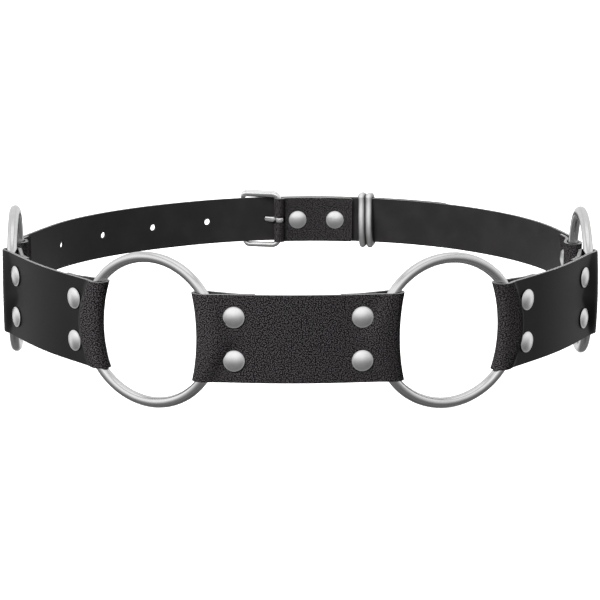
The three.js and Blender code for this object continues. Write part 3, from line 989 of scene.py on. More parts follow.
class Workshop:
    """Puts finished meshes on show as pieces of the belt.

    An edge of a piece is sharp from the crease on, in degrees, and one of a tool from its own.
    """

    crease: float = 50.0
    tool_crease: float = 30.0

    def __init__(self, layout: Layout) -> None:
        """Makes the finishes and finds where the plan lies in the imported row.

        Args:
            layout: the belt's plan.
        """
        self.layout = layout
        low, high = (np.array(corner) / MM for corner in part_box("ring_front_right"))
        ring = layout.places["ring_front_right"].origin
        self.shift = (low + high) / 2 - np.array([ring[0], ring[1], 0.0])
        self.leathers = [leather.material() for leather in LEATHERS]
        self.metals = {slot: metal.material() for slot, metal in METALS.items()}
        self.keeper_metal = KEEPER_METAL.material()

    def show(self, skin: Skin, node: str, slot: Slot,
             metal: bpy.types.Material | None = None) -> bpy.types.Object:
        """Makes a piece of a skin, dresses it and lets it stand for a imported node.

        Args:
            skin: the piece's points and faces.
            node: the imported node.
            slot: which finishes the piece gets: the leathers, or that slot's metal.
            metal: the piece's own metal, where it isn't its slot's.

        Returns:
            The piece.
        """
        finishes = self.leathers if slot is Slot.LEATHER else [metal or self.metals[slot]]
        name = node + "_piece"
        piece = bpy.data.objects.new(name, skin.mesh(name, self.shift, self.crease))
        bpy.context.collection.objects.link(piece)
        for finish in finishes:
            piece.data.materials.append(finish)
        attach(piece, BODY)
        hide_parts(node)
        log.info("%s: %d faces", name, len(piece.data.polygons))
        return piece

    def pierce(self, piece: bpy.types.Object, tools: list[Skin]) -> None:
        """Takes closed tools out of a piece and keeps the result as its mesh.

        Args:
            piece: the piece.
            tools: skins of what is taken out.
        """
        cutters = []
        for tool in tools:
            mesh = tool.mesh("cutter", self.shift, self.tool_crease)
            cutter = bpy.data.objects.new("cutter", mesh)
            for finish in piece.data.materials:
                cutter.data.materials.append(finish)
            bpy.context.collection.objects.link(cutter)
            modifier = piece.modifiers.new("cut", "BOOLEAN")
            modifier.operation = "DIFFERENCE"
            modifier.object = cutter
            modifier.solver = "EXACT"
            cutters.append(cutter)
        pierced = piece.evaluated_get(bpy.context.evaluated_depsgraph_get())
        mesh = bpy.data.meshes.new_from_object(pierced)
        piece.modifiers.clear()
        old, piece.data = piece.data, mesh
        bpy.data.meshes.remove(old)
        for cutter in cutters:
            bpy.data.meshes.remove(cutter.data)
        mesh.set_sharp_from_angle(angle=math.radians(self.crease))


# Sub-assemblies


@dataclass
class Rivets:
    """Cap rivets: a domed cap with a fine rim at each end of a short shank.

    The rim's bead turns by a share of half a turn up from the leather, and the dome starts a
    little inside it.
    """

    sizes: Sizes
    cap: float = 4.85
    dome: float = 1.6
    dome_inset: float = 0.05
    dome_steps: int = 14
    rim: float = 0.45
    rim_turn: float = 0.62
    rim_steps: int = 8
    shank: float = 1.7
    flat_head: float = 0.6
    sides: int = 48

    def profile(self, outer_rise: float) -> Array:
        """Draws half a rivet's section from its outer top to its inner top.

        Args:
            outer_rise: how far the outer head stands up.

        Returns:
            Pairs of radius and depth.
        """
        grip = self.sizes.leather + self.sizes.air / 2 + self.sizes.seat
        outer = self.head(outer_rise) * [1, -1] - [0, grip]
        inner = self.head(self.dome) + [0, grip]
        return np.concatenate([outer[::-1], inner])

    def head(self, rise: float) -> Array:
        """Draws a cap from its shank to its top.

        The dome's height over its width falls as one minus the square of the radius, and a small
        bead runs round its rim.

        Args:
            rise: how far the cap stands up.

        Returns:
            Pairs of radius and height.
        """
        turn = np.linspace(-math.pi / 2, math.pi * self.rim_turn, self.rim_steps)
        bead = min(self.rim / 2, rise / 3)
        edge = [self.cap - bead, bead] + bead * direction(turn)
        radius = np.linspace(edge[-1, 0] - self.dome_inset, 0, self.dome_steps)
        swell = (rise - edge[-1, 1]) * (1 - (radius / radius[0]) ** 2)
        top = np.stack([radius, edge[-1, 1] + swell], axis=-1)
        return np.concatenate([[[self.shank, 0.0]], edge, top])

    def skin(self, place: Place, height: float, flat: bool = False) -> Skin:
        """Turns the profile round the rivet's axis, which points inward.

        Args:
            place: the rivet's middle and the heading of the leather there.
            height: above the belt's middle.
            flat: whether the outer head is flat.

        Returns:
            The rivet's skin.
        """
        profile = self.profile(self.flat_head if flat else self.dome)
        radius, depth = profile[:, :1], profile[:, 1:]
        turn = full_turn(self.sides)
        plan = place.at(radius * np.cos(turn), depth)
        skin = Skin()
        skin.grid(upright(plan, radius * np.sin(turn) + height), 0, (False, True))
        return skin


@dataclass
class Rings:
    """Round wire rings that stand on edge."""

    wire: float = 2.45
    radius: float = 33.35
    steps: int = 160
    sides: int = 28

    def build(self, shop: Workshop) -> None:
        """Makes the rings: a circle of wire carried round the ring's upright circle.

        Args:
            shop: where the pieces go on show.
        """
        profile = self.wire * direction(full_turn(self.sides))
        turn = full_turn(self.steps)
        for name in ("ring_front_left", "ring_front_right", "ring_side_left", "ring_side_right"):
            ring = shop.layout.places[name]
            outs = upright(ring.way(np.cos(turn), 0), np.sin(turn))
            centres = upright(ring.at(self.radius * np.cos(turn), 0), self.radius * np.sin(turn))
            across = upright(ring.way(0, 1), 0)
            shop.show(swept_skin(centres, outs, across, profile), name, Slot.RINGS)


class Closing(NamedTuple):
    """Where a panel's layers part at a height from its middle, in distances along the panel.

    The outer layer parts at soft where it swells softly to the ring, and at creased where it
    rises in a crease.
    """

    height: float
    soft: float
    creased: float
    inner: float


class FoldForm(NamedTuple):
    """How far a panel's folds stand off the wire, and how many passes ease their lines."""

    slack: float
    passes: int


@dataclass
class Panels:
    """Wide panels, each end folded inward round a ring and riveted to itself.

    The side panels are ironed smooth up to smooth_to along them, and their grain starts there at
    one end: the one at the front ring. The dark smooth finish reaches past the crease before the
    fold, so it is painted shade in the crease.
    """

    sizes: Sizes
    bend_radius: float = 200.0
    bend_reach: float = 20.0
    first_step: float = 0.5
    flat_steps: int = 20
    waist: tuple[float, float] = (1.2, 1.7)
    waist_radius: float = 0.5
    flap_end: float = 19.0
    rivet_at: float = 28.3
    rivet_height: float = 9.9
    levels: int = 45
    steps: int = 230
    level_passes: int = 2
    front_form: FoldForm = FoldForm(0.9, 16)
    side_form: FoldForm = FoldForm(0.2, 3)
    grained_ends: dict[str, int] = field(
        default_factory=lambda: {"left_panel": 1, "right_panel": -1})
    # Past the crease before the fold, so the dark smooth finish is painted shade there
    smooth_to: float = 36.5
    press_in: float = 1.3
    closing: tuple[Closing, ...] = (
        Closing(0, 25.5, 34.0, 31.8), Closing(5, 29.5, 34.2, 32.4), Closing(10, 33.3, 35.2, 33.5),
        Closing(15, 35.0, 36.4, 33.8), Closing(20, 37.5, 38.0, 26.5))

    def depth(self, u: Array | float) -> Array | float:
        """Finds the face's depth: an arc near the panel's middle and straight beyond it.

        It is the square of the distance over twice the bend's radius, and past the bend's reach
        it goes on at the slope that it has there.

        Args:
            u: distance along the panel from its middle.

        Returns:
            How far inward the face lies.
        """
        bent = np.minimum(np.abs(u), self.bend_reach)
        slope = self.bend_reach / self.bend_radius
        return bent ** 2 / (2 * self.bend_radius) + (np.abs(u) - bent) * slope

    def face(self, u: Array | float, layer: int, count: int) -> Array:
        """Finds the leather's middle in one of a panel's two layers.

        Args:
            u: distance along the panel from its middle, one for all rows or by row.
            layer: 0 for the outer layer and 1 for the inner one.
            count: how many rows there are.

        Returns:
            Pairs of u and w, by row.
        """
        u = np.broadcast_to(u, count)
        depth = self.depth(u) + self.sizes.leather / 2 + layer * self.sizes.layer
        return np.stack([u, depth], axis=-1)

    def half(self, heights: Array, bend: float, creased: bool, slack: float) -> Array:
        """Draws half a panel at each level, from its middle to its flap's end.

        At each level the wire lies nearer to the panel's middle than at the panel's edges, by
        half the ring's width there less half its width at the edges. The fold's end is drawn in
        by its waist, times one minus the square of the level's share of half the height.

        Args:
            heights: the levels.
            bend: the angle between the panel and the ring in its fold.
            creased: whether the outer layer rises to the ring in a crease or in a soft swell.
            slack: how far the fold stands off the wire.

        Returns:
            Points by level, step and axis, as u and w.
        """
        sizes = self.sizes
        count = len(heights)
        rows, soft, sharp, inner = np.array(self.closing).T
        outer_close, inner_close = (np.interp(np.abs(heights), rows, column)
                                    for column in (sharp if creased else soft, inner))
        hold = np.array([sizes.fold_at, sizes.fold_depth])
        sunk = sizes.chord(sizes.panel_height / 2) - sizes.chord(heights)
        wire = hold + sunk[:, None] * direction(bend)
        waist = 1 - (2 * heights / sizes.panel_height) ** 2
        turn = hold + slack * direction(bend) - waist[:, None] * np.array(self.waist)
        radius = sizes.wire_bend(heights)
        fold = fold_line(self.face(outer_close, 0, count), self.face(inner_close, 1, count),
                         wire, turn, radius, radius - waist * self.waist_radius)
        flat = [self.face(u, 0, count)[:, None]
                for u in np.linspace(self.first_step, self.bend_reach, self.flat_steps)]
        return np.concatenate([*flat, fold, self.face(self.flap_end, 1, count)[:, None]], axis=1)

    def press(self, rows: Array, grained: int | None) -> Array:
        """Finds how strong the grain is along a panel.

        Args:
            rows: the leather's middle, by level, step and axis.
            grained: the only end that has grain, -1 or +1, or None where the whole panel has it.

        Returns:
            The grain's strength, by step.
        """
        if grained is None:
            return np.ones(self.steps)
        reach = grained * rows[len(rows) // 2, :, 0]
        return np.clip((reach - self.smooth_to) / self.press_in, 0, 1)

    def build(self, shop: Workshop, rivets: Rivets) -> None:
        """Makes the panels and their rivets.

        Args:
            shop: where the pieces go on show.
            rivets: makes the rivets.
        """
        places = shop.layout.places
        ends = {"front_panel": ("ring_front_left", "ring_front_right"),
                "left_panel": ("ring_side_left", "ring_front_left"),
                "right_panel": ("ring_front_right", "ring_side_right")}
        heights = np.linspace(-1, 1, self.levels) * self.sizes.panel_height / 2
        for name, (minus, plus) in ends.items():
            panel = places[name]
            grained = self.grained_ends.get(name)
            form = self.side_form if grained else self.front_form
            bends = (panel.angle - places[minus].angle, places[plus].angle - panel.angle)
            low, high = (self.half(heights, bend, grained == side, form.slack)
                         for side, bend in zip((-1, 1), bends))
            rows = np.concatenate([low[:, ::-1] * [-1, 1], high], axis=1)
            rows = ease(resample(rows, self.steps), form.passes, 1)
            rows = ease(rows, self.level_passes, 0)
            middle = panel.at(rows[..., 0], rows[..., 1])
            levels = np.broadcast_to(heights[:, None], middle.shape[:2])
            skin = leather_skin(middle, levels, self.sizes.leather, self.press(rows, grained))
            shop.show(skin, name, Slot.LEATHER)
            self.fasten(shop, rivets, name, panel)

    def fasten(self, shop: Workshop, rivets: Rivets, name: str, panel: Place) -> None:
        """Sets two rivets, one above the other, at each end of a panel.

        Args:
            shop: where the pieces go on show.
            rivets: makes the rivets.
            name: the panel's node.
            panel: its place.
        """
        slope = math.atan(self.bend_reach / self.bend_radius)
        middle = self.sizes.leather + self.sizes.air / 2
        spots = [(side, up) for side in (-1, 1) for up in (1, -1)]
        for number, (side, up) in enumerate(spots, 1):
            spot = panel.at(side * self.rivet_at, self.depth(self.rivet_at) + middle)
            skin = rivets.skin(Place(spot, panel.angle + side * slope), up * self.rivet_height)
            shop.show(skin, f"{name}_rivet_{number}", Slot.RIVETS)


@dataclass(frozen=True)
class Hold:
    """What a strap's end folds round: a bar or a ring's wire.

    It lies at seam_at along the seam, and deeper by sunk at half height than at the strap's edges.
    The leather's middle bends round it by bend and stands off it by give at the fold's end.
    """

    place: Place
    seam_at: float
    bend: float
    sunk: float = 0.0
    give: float = 0.0


@dataclass(frozen=True)
class StrapFold:
    """A strap's end that folds back: where its layers part and where its flap ends."""

    close: float
    end: float


@dataclass
class Straps:
    """The two narrow straps of the back, which follow the seam.

    The value roll_on is a trace of inward way that turns a fold without give on round its bar.
    """

    sizes: Sizes
    heel_bar_x: float = -10.9
    bar_wire: float = 1.2
    right_fold: StrapFold = StrapFold(11.8, 23.0)
    left_fold: StrapFold = StrapFold(6.5, 16.0)
    buckle_fold: StrapFold = StrapFold(3.9, 41.2)
    ring_rivet: float = 17.2
    buckle_rivets: tuple[float, ...] = (10.3, 31.4)
    fold_ease: float = 0.25
    roll_on: float = 1e-9
    slot_height: float = 3.6
    slot_reach: float = 3.3
    slot_length: float = 15.0
    slot_depth: float = 8.0
    tail_past_bar: float = 99.9
    tail_corner: float = 8.0
    flap_corner: float = 1.6
    hidden_corner: float = 1.0
    hole_at: float = 7.3
    hole_spacing: float = 32.7
    hole_count: int = 4
    hole_radius: float = 1.7
    hole_sides: int = 32
    hole_depth: float = 4.0
    splay: float = 1.2
    levels: int = 25
    spacing: float = 1.0
    fineness: int = 8
    passes: int = 60
    corner_steps: int = 14
    tail_steps: int = 300
    strap_steps: int = 200
    flap_steps: int = 30

    def fold(self, layout: Layout, hold: Hold, side: int, middle: float, end: StrapFold,
             splay: float = 0.0) -> Array:
        """Draws a strap's end from its outer layer round what holds it to the end of its flap.

        Args:
            layout: the belt's plan.
            hold: what it folds round.
            side: which way the strap's end points along the seam, -1 or +1.
            middle: depth of the outer layer's middle.
            end: where the layers part and the flap ends.
            splay: how far the flap stands off the outer layer.

        Returns:
            Plan points by step and axis.
        """
        lifted = middle + self.sizes.layer + splay
        turned = np.array([side, 1])
        parting = hold.seam_at - side * end.close
        outer, inner = (hold.place.local(layout.on_seam(parting, depth)) * turned
                        for depth in (middle, lifted))
        bend = np.array([hold.bend])
        line = fold_line(outer[None], inner[None], np.array([[-hold.sunk, 0.0]]),
                         np.array([[hold.give, self.roll_on]]), bend, bend)[0] * turned
        reach = np.linspace(parting, hold.seam_at - side * end.end, self.flap_steps)
        flap = layout.on_seam(reach, lifted)
        return np.concatenate([hold.place.at(line[:, 0], line[:, 1]), flap[1:]])

    def ring_hold(self, layout: Layout, side: int) -> Hold:
        """Gives the side ring's wire as what a strap folds round.

        Args:
            layout: the belt's plan.
            side: -1 or +1.

        Returns:
            The hold.
        """
        half = self.sizes.strap_height / 2
        return Hold(layout.wire(side), 0.0 if side > 0 else layout.seam_length,
                    self.sizes.wire_bend(half), self.sizes.ring_radius - self.sizes.chord(half),
                    self.fold_ease)

    def skin(self, draw: Callable[[float], Array], corners: Span) -> Skin:
        """Makes a strap of its line in plan.

        Its half height at a distance from an end with a corner radius is the strap's half height
        less the radius, plus the height of a quarter circle there.

        Args:
            draw: the middle of the leather in plan, for a share of the strap's half height.
            corners: the corner radii at the line's start and end.

        Returns:
            The strap's skin.
        """
        share = np.linspace(-1, 1, self.levels)
        length = float(running_lengths(draw(0.0))[-1])
        count = int(self.fineness * length / self.spacing)
        fine = np.concatenate([resample(draw(abs(level))[None], count) for level in share])
        fine = ease(fine, self.passes, 1)
        lengths = np.linspace(0, length, count)
        quarter = 1 - np.cos(np.linspace(0, math.pi / 2, self.corner_steps))
        first, last = (radius * quarter for radius in corners)
        inside = np.arange(corners[0] + self.spacing, length - corners[1] - self.spacing / 2,
                           self.spacing)
        runs = np.concatenate([first, inside, length - last[::-1]])
        rows = np.stack([along_line(runs, lengths, row) for row in fine])
        half = np.full(len(runs), self.sizes.strap_height / 2)
        for radius, away in ((corners[0], runs), (corners[1], length - runs)):
            short = np.clip(radius - away, 0, radius)
            half -= radius - np.sqrt(radius ** 2 - short ** 2)
        return leather_skin(rows, share[:, None] * half, self.sizes.leather, np.ones(len(runs)))

    def tail(self, layout: Layout, heel_bar: float) -> Array:
        """Draws the tail strap from its tip to the flap at the left ring.

        Args:
            layout: the belt's plan.
            heel_bar: the heel bar's distance along the seam.

        Returns:
            Plan points by step and axis.
        """
        middle = -self.sizes.leather / 2
        reach = np.linspace(heel_bar - self.tail_past_bar,
                            layout.seam_length - self.left_fold.close, self.tail_steps)
        fold = self.fold(layout, self.ring_hold(layout, -1), 1, middle, self.left_fold)
        return np.concatenate([layout.on_seam(reach, middle)[:-1], fold])

    def buckle(self, layout: Layout, heel_bar: float, bar: Place, share: float) -> Array:
        """Draws the buckle strap from the flap at the right ring to the flap behind the bar.

        Args:
            layout: the belt's plan.
            heel_bar: the bar's distance along the seam.
            bar: the bar's place.
            share: of the strap's half height, where the ring's flap splays by its square.

        Returns:
            Plan points by step and axis.
        """
        middle = self.sizes.seam_gap + self.sizes.leather / 2
        ring = self.fold(layout, self.ring_hold(layout, 1), -1, middle, self.right_fold,
                         self.splay * share ** 2)
        reach = np.linspace(self.right_fold.close, heel_bar - self.buckle_fold.close,
                            self.strap_steps)
        hold = Hold(bar, heel_bar, self.bar_wire + self.sizes.air + self.sizes.leather / 2)
        fold = self.fold(layout, hold, 1, middle, self.buckle_fold)
        return np.concatenate([ring[::-1], layout.on_seam(reach, middle)[1:-1], fold])

    def build(self, shop: Workshop, rivets: Rivets, heel_bar: float, bar: Place,
              prong: Skin) -> None:
        """Makes both straps, pierces them and sets their rivets.

        Args:
            shop: where the pieces go on show.
            rivets: makes the rivets.
            heel_bar: the heel bar's distance along the seam.
            bar: the heel bar's place.
            prong: what is taken out of the tail strap for the prong.
        """
        layout = shop.layout
        tail_line = self.tail(layout, heel_bar)
        tail = shop.show(self.skin(lambda share: tail_line, (self.tail_corner, self.flap_corner)),
                         "tail_strap", Slot.LEATHER)
        holes = heel_bar + self.hole_at + self.hole_spacing * np.arange(1, self.hole_count + 1)
        punches = [self.punch(layout.seam_place(hole)) for hole in holes]
        shop.pierce(tail, [*punches, prong])
        strap = shop.show(self.skin(lambda share: self.buckle(layout, heel_bar, bar, share),
                                    (self.hidden_corner, self.flap_corner)),
                          "buckle_strap", Slot.LEATHER)
        shop.pierce(strap, [self.slot_block(bar)])
        middle = self.sizes.seam_gap + self.sizes.leather + self.sizes.air / 2
        for number, reach in enumerate(self.buckle_rivets, 1):
            place = layout.seam_place(heel_bar - reach, middle)
            shop.show(rivets.skin(place, 0.0, True), f"buckle_rivet_{number}", Slot.RIVETS)
        ring_rivet = rivets.skin(layout.seam_place(self.ring_rivet, middle), 0.0)
        shop.show(ring_rivet, "ring_strap_rivet", Slot.RIVETS)

    def punch(self, spot: Place) -> Skin:
        """Makes the round plug that a hole takes out, its axis inward.

        Args:
            spot: the hole's place.

        Returns:
            The plug's skin.
        """
        across, up = self.hole_radius * direction(full_turn(self.hole_sides)).T
        reach = np.array([[-self.hole_depth], [self.hole_depth]])
        wall = upright(spot.at(across, reach), up)
        skin = Skin()
        skin.grid(wall, Finish.FLESH, (False, True))
        for end in wall:
            skin.cap(end, Finish.FLESH)
        return skin

    def slot_block(self, bar: Place) -> Skin:
        """Makes the block that the prong's slot takes out of the fold.

        Args:
            bar: the heel bar's place.

        Returns:
            The block's skin.
        """
        near, far = -self.slot_reach, self.slot_length - self.slot_reach
        deep = self.slot_depth
        outline = bar.at(np.array([near, far, far, near]), np.array([-deep, -deep, deep, deep]))
        return block(outline, self.slot_height, Finish.FLESH)


@dataclass
class Buckle:
    """A wire frame on a heel bar, with a flat prong curled round the bar.

    The rails are the radii of the frame's upper and lower wire, and wire is that of its bars.
    """

    sizes: Sizes
    wire: float = 1.2
    wire_sides: int = 20
    rails: Span = (1.95, 1.5)
    length: float = 18.4
    height: float = 31.6
    rise: float = 0.4
    corner: float = 2.6
    heel_corner: float = 4.2
    corner_steps: int = 10
    lean: float = 0.05
    prong_width: float = 2.8
    prong_thickness: float = 1.1
    prong_wrap: float = 230.0
    prong_inside: float = 3.7
    prong_outside: float = 9.7
    prong_overhang: float = 1.5
    prong_curl_steps: int = 40
    prong_steps: int = 90
    prong_passes: int = 4
    prong_sides: int = 20
    prong_roundness: float = 0.8

    @property
    def bar_depth(self) -> float:
        """Returns how far inward of the seam the heel bar's middle lies."""
        return self.sizes.seam_gap + self.sizes.layer + self.wire

    def bar(self, layout: Layout, heel_bar: float) -> Place:
        """Returns the heel bar's place."""
        return layout.seam_place(heel_bar, self.bar_depth)

    def frame_skin(self, layout: Layout, heel_bar: float, bar: Place) -> Skin:
        """Makes the frame: round wire carried round its rectangle.

        The wire's radius goes from the bars' to the rails' with the height of the way out.

        Args:
            layout: the belt's plan.
            heel_bar: the heel bar's distance along the seam.
            bar: the heel bar's place.

        Returns:
            The frame's skin.
        """
        far = layout.on_seam(heel_bar + self.length, -self.sizes.layer - self.wire)
        across = far - bar.origin
        middle = Place((bar.origin + far) / 2, math.atan2(across[1], across[0]))
        width = float(np.linalg.norm(across))
        top, bottom = self.rails
        path, outs = rounded_rectangle(width, self.height - top - bottom,
                                       (self.corner, self.heel_corner), self.corner_steps)
        path[:, 0] += self.lean * (0.5 + path[:, 0] / width) * path[:, 1]
        rail = np.where(outs[:, 1] > 0, top, bottom)
        radius = self.wire + (rail - self.wire) * np.abs(outs[:, 1])
        profile = radius[:, None, None] * direction(full_turn(self.wire_sides))
        rise = self.rise + (bottom - top) / 2
        return swept_skin(upright(middle.at(path[:, 0], 0), path[:, 1] + rise),
                          upright(middle.way(outs[:, 0], 0), outs[:, 1]),
                          upright(middle.way(0, 1), 0), profile)

    def prong_line(self, layout: Layout, heel_bar: float, bar: Place) -> Array:
        """Draws the prong in plan: round the bar from inside, then out through the tail strap.

        Args:
            layout: the belt's plan.
            heel_bar: the heel bar's distance along the seam.
            bar: the heel bar's place.

        Returns:
            Plan points by step and axis.
        """
        bend = self.wire + self.sizes.seat + self.prong_thickness / 2
        wrap = np.linspace(-self.prong_wrap, 0, self.prong_curl_steps)
        curl = bend * direction(np.radians(wrap - 90))
        outside = -self.sizes.layer - self.prong_thickness / 2
        on_bar = outside - 2 * self.wire - self.sizes.seat
        reach = np.array([self.prong_inside, self.prong_outside, self.length,
                          self.length + self.prong_overhang])
        depth = np.array([self.bar_depth - bend, outside - self.sizes.air, on_bar, on_bar])
        return np.concatenate([bar.at(curl[:, 0], curl[:, 1]),
                               layout.on_seam(heel_bar + reach, depth)])

    def prong_skin(self, line: Array, grow: float = 0.0) -> Skin:
        """Gives the prong's line a section with rounded edges.

        Round the section, half the thickness is multiplied by the cosine and half the width by
        the sine, each raised to the roundness with its sign kept.

        Args:
            line: the prong's line in plan.
            grow: how much larger the section is all round, for a tool that makes room for it.

        Returns:
            The prong's or the tool's skin.
        """
        rows = ease(resample(line[None], self.prong_steps), self.prong_passes, 1)
        turn = direction(full_turn(self.prong_sides))
        squared = np.sign(turn) * np.abs(turn) ** self.prong_roundness
        thick, wide = (squared * [self.prong_thickness / 2 + grow, self.prong_width / 2 + grow]).T
        plan = rows[0][:, None] + thick[:, None] * right_of(rows)[0][:, None]
        points = upright(plan, wide)
        finish = Finish.FLESH if grow else 0
        skin = Skin()
        skin.grid(points, finish, (False, True))
        for end in (points[0], points[-1]):
            skin.cap(end, finish)
        return skin


@dataclass
class Keeper:
    """A loop of two half-round bands side by side round all layers of the back, with painted shade
    on their flanks.
    """

    sizes: Sizes
    at: float = 48.7
    band: float = 4.1
    ridge: float = 1.95
    ridge_steps: int = 14
    height: float = 29.6
    wall: float = 2.0
    base: float = 0.3
    corner: float = 2.4
    corner_steps: int = 8
    side_steps: int = 12
    lean: float = 2.0
    bow: float = 1.9
    skew: float = 1.0
    # How dark the painted shade on the ridges' flanks and in the groove between the bands is
    ridge_shade: float = 0.95

    def section(self) -> Array:
        """Draws the section of both bands.

        Returns:
            Pairs of distance across and height over the leather.
        """
        swell = [0, self.base] + [self.ridge, self.wall - self.base] * direction(
            np.linspace(math.pi, 0, self.ridge_steps))
        half = np.array([self.band / 2, 0])
        return np.concatenate([[[-self.band, 0.0]], swell - half, swell + half,
                               [[self.band, 0.0]]])

    def skin(self, layout: Layout, heel_bar: float) -> Skin:
        """Makes the loop: the section of both bands carried round an upright rectangle.

        Its inner side bows out by the bow times one minus the square of the share of the height,
        times one minus the skew times that share.

        Args:
            layout: the belt's plan.
            heel_bar: the heel bar's distance along the seam.

        Returns:
            The keeper's skin.
        """
        inside, outside = self.sizes.seam_gap + self.sizes.layer, -self.sizes.layer
        middle = layout.seam_place(heel_bar - self.at, (inside + outside) / 2)
        corner = self.corner - self.wall
        path, outs = rounded_rectangle(inside - outside, self.height - 2 * self.wall,
                                       (corner, corner), self.corner_steps, self.side_steps)
        limit = self.height / 2 - self.wall
        share = path[:, 1] / limit
        inner = self.bow * np.maximum(outs[:, 0], 0)
        bulge, taper = 1 - share ** 2, 1 - self.skew * share
        path[:, 0] += inner * bulge * taper
        outs[:, 1] += inner / limit * (2 * share * taper + self.skew * bulge)
        profile = self.section()
        spots = path[:, None] + outs[:, None] * profile[:, 1:]
        along = profile[:, 0] + math.tan(math.radians(self.lean)) * spots[..., 1]
        # Painted shade: dark on each ridge's flanks and in the groove, none on its crest.
        aside = np.abs(np.abs(profile[:, 0]) - self.band / 2) / (self.band / 2)
        painted_shade = self.ridge_shade * np.clip(aside, 0, 1) ** 2
        skin = Skin()
        skin.grid(upright(middle.at(along, spots[..., 0]), spots[..., 1]), 0, (True, True),
                  {PAINTED_SHADE: np.broadcast_to(painted_shade, spots.shape[:2])})
        return skin


# Studio


@dataclass(frozen=True)
class Lamp:
    """A square soft light that no metal mirrors.

    Its spot, counted from the belt's middle, and its side are in metres, and its power in watts.
    """

    name: str
    spot: tuple[float, float, float]
    power: float
    side: float = 1.2

    def hang(self, aim: Array) -> None:
        """Hangs the light and points it at the belt.

        Args:
            aim: the belt's middle.
        """
        light = bpy.data.lights.new(self.name, "AREA")
        light.size = self.side
        light.energy = self.power
        lamp = bpy.data.objects.new(self.name, light)
        bpy.context.collection.objects.link(lamp)
        lamp.visible_glossy = False
        x, y, z = self.spot
        lamp.location = tuple(aim + self.spot)
        lamp.rotation_euler = (math.atan2(math.hypot(x, y), z), 0, math.atan2(y, x) + math.pi / 2)


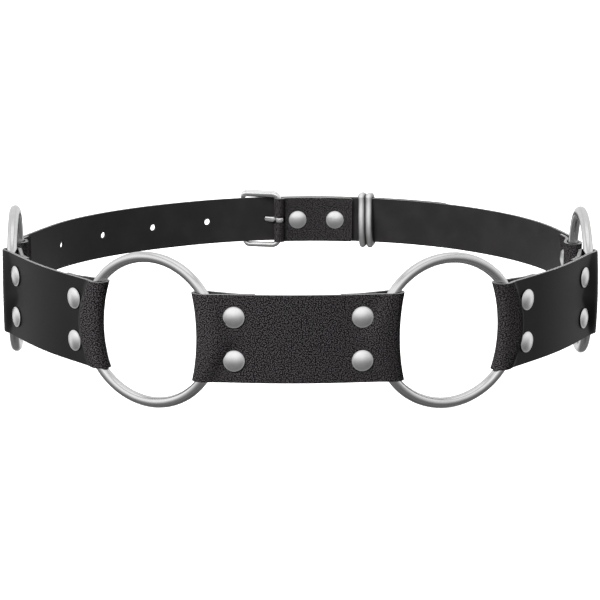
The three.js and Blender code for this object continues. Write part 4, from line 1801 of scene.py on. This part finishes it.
@dataclass
class Studio:
    """The pale floor, the soft light and the camera.

    The sky's levels go with the height of a direction: 0 straight down, 0.5 at the horizon and 1
    straight up. Their first two are the stops that a new ramp already has.
    """

    distance: float = 1.25069
    pitch: float = 12.5604
    lens: float = 157.177
    shift: Span = (0.00287, -0.01171)
    view_limit: float = 60.0
    floor_side: float = 24.0
    floor_drop: float = 1e-4
    floor_level: float = 0.3
    floor_roughness: float = 0.9
    floor_glow: float = 0.92
    lamps: tuple[Lamp, ...] = (Lamp("key_light", (-1.0, -1.3, 1.15), 160.0),
                               Lamp("back_light", (0.6, 1.5, 1.0), 110.0))
    back_level: float = 0.78
    back_steps: Span = (0.1, 0.45)
    low_steps: Span = (-0.6, -0.25)
    dimming: float = 0.35
    dim_way: tuple[float, float, float] = (0.87, -0.5, 0.0)
    dim_steps: Span = (0.6, 0.98)
    sky_levels: dict[float, float] = field(default_factory=lambda: {
        0.0: 0.1, 1.0: 1.05, 0.06: 0.18, 0.12: 0.16, 0.25: 0.18, 0.34: 0.26, 0.4: 0.4, 0.45: 0.48,
        0.52: 0.65, 0.6: 1.1, 0.8: 1.04, 0.87: 0.92, 0.905: 0.48, 0.93: 0.7, 0.96: 1.1})

    def build(self, row_shift: Array) -> None:
        """Makes the floor, the sky, the lamps and the camera.

        Args:
            row_shift: from the plan's own point to the row's origin, in millimetres.
        """
        bpy.context.scene.view_settings.view_transform = "Standard"
        self.floor()
        self.sky()
        aim = row_shift * MM
        for lamp in self.lamps:
            lamp.hang(aim)
        pitch = math.radians(self.pitch)
        camera = bpy.data.objects.new("camera", bpy.data.cameras.new("camera"))
        bpy.context.collection.objects.link(camera)
        camera.data.lens = self.lens
        camera.data.shift_x, camera.data.shift_y = self.shift
        camera.data.clip_end = self.view_limit
        camera.location = (aim[0], aim[1] - self.distance * math.cos(pitch),
                           aim[2] + self.distance * math.sin(pitch))
        camera.rotation_euler = (math.pi / 2 - pitch, 0, 0)
        bpy.context.scene.camera = camera

    def floor(self) -> None:
        """Lays a plain white floor that throws almost no light or shadow back."""
        half = self.floor_side / 2
        corners = [(x * half, y * half, -self.floor_drop)
                   for x, y in ((-1, -1), (1, -1), (1, 1), (-1, 1))]
        mesh = bpy.data.meshes.new("floor")
        mesh.from_pydata(corners, [], [(0, 1, 2, 3)])
        floor = bpy.data.objects.new("floor", mesh)
        bpy.context.collection.objects.link(floor)
        graph = Graph.of_material("pale_floor")
        mesh.materials.append(graph.dress(
            Base_Color=grey(self.floor_level), Roughness=self.floor_roughness,
            Emission_Color=grey(1.0), Emission_Strength=self.floor_glow))
        floor.visible_glossy = False
        floor.visible_diffuse = False
        floor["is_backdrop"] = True

    def sky(self) -> None:
        """Fills the room with soft light: bright above and at the back, and dim below.

        The light's level follows the height of its direction, with a dim band high up that draws
        a line along round metal. It is the same all over the back of the room, down to a little
        below the horizon, and it falls off round one level direction.
        """
        graph = Graph(bpy.data.worlds.new("studio"), "Background")
        bpy.context.scene.world = graph.owner
        way = graph.node("TexCoord", output=0)
        lift = graph.node("SeparateXYZ", output=2, i0=way)
        back = graph.node("SeparateXYZ", output=1, i0=way)
        level = graph.node("ValToRGB", {"stops": self.sky_levels}, i0=lift * 0.5 + 0.5)
        behind = back.between(*self.back_steps) * lift.between(*self.low_steps)
        level = graph.mix(behind, level, grey(self.back_level))
        aside = graph.node("VectorMath", {"operation": "DOT_PRODUCT"}, output=1,
                           i0=way, i1=self.dim_way)
        dimmed = aside.between(*self.dim_steps) * self.dimming
        graph.dress(Color=graph.mix(dimmed, level, grey(0.0)))


def corners() -> list[list[float]]:
    """Returns the whole object's lowest and highest corner as plain lists of numbers."""
    return [[float(number) for number in corner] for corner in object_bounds()]


def main() -> None:
    """Builds the studio and the belt's sub-assemblies in order."""
    logging.basicConfig(level=logging.INFO, format="%(message)s")
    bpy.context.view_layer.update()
    sizes = Sizes()
    layout = Layout(sizes)
    shop = Workshop(layout)
    Studio().build(shop.shift)
    rivets = Rivets(sizes)
    Panels(sizes).build(shop, rivets)
    Rings().build(shop)
    straps = Straps(sizes)
    buckle = Buckle(sizes)
    heel_bar = layout.seam_distance(straps.heel_bar_x)
    bar = buckle.bar(layout, heel_bar)
    prong = buckle.prong_line(layout, heel_bar, bar)
    straps.build(shop, rivets, heel_bar, bar, buckle.prong_skin(prong, sizes.air))
    shop.show(buckle.frame_skin(layout, heel_bar, bar), "buckle_frame", Slot.BUCKLE)
    shop.show(buckle.prong_skin(prong), "buckle_prong", Slot.BUCKLE)
    shop.show(Keeper(sizes).skin(layout, heel_bar), "keeper", Slot.BUCKLE, shop.keeper_metal)
    bpy.context.view_layer.update()


if __name__ == "__main__":
    main()
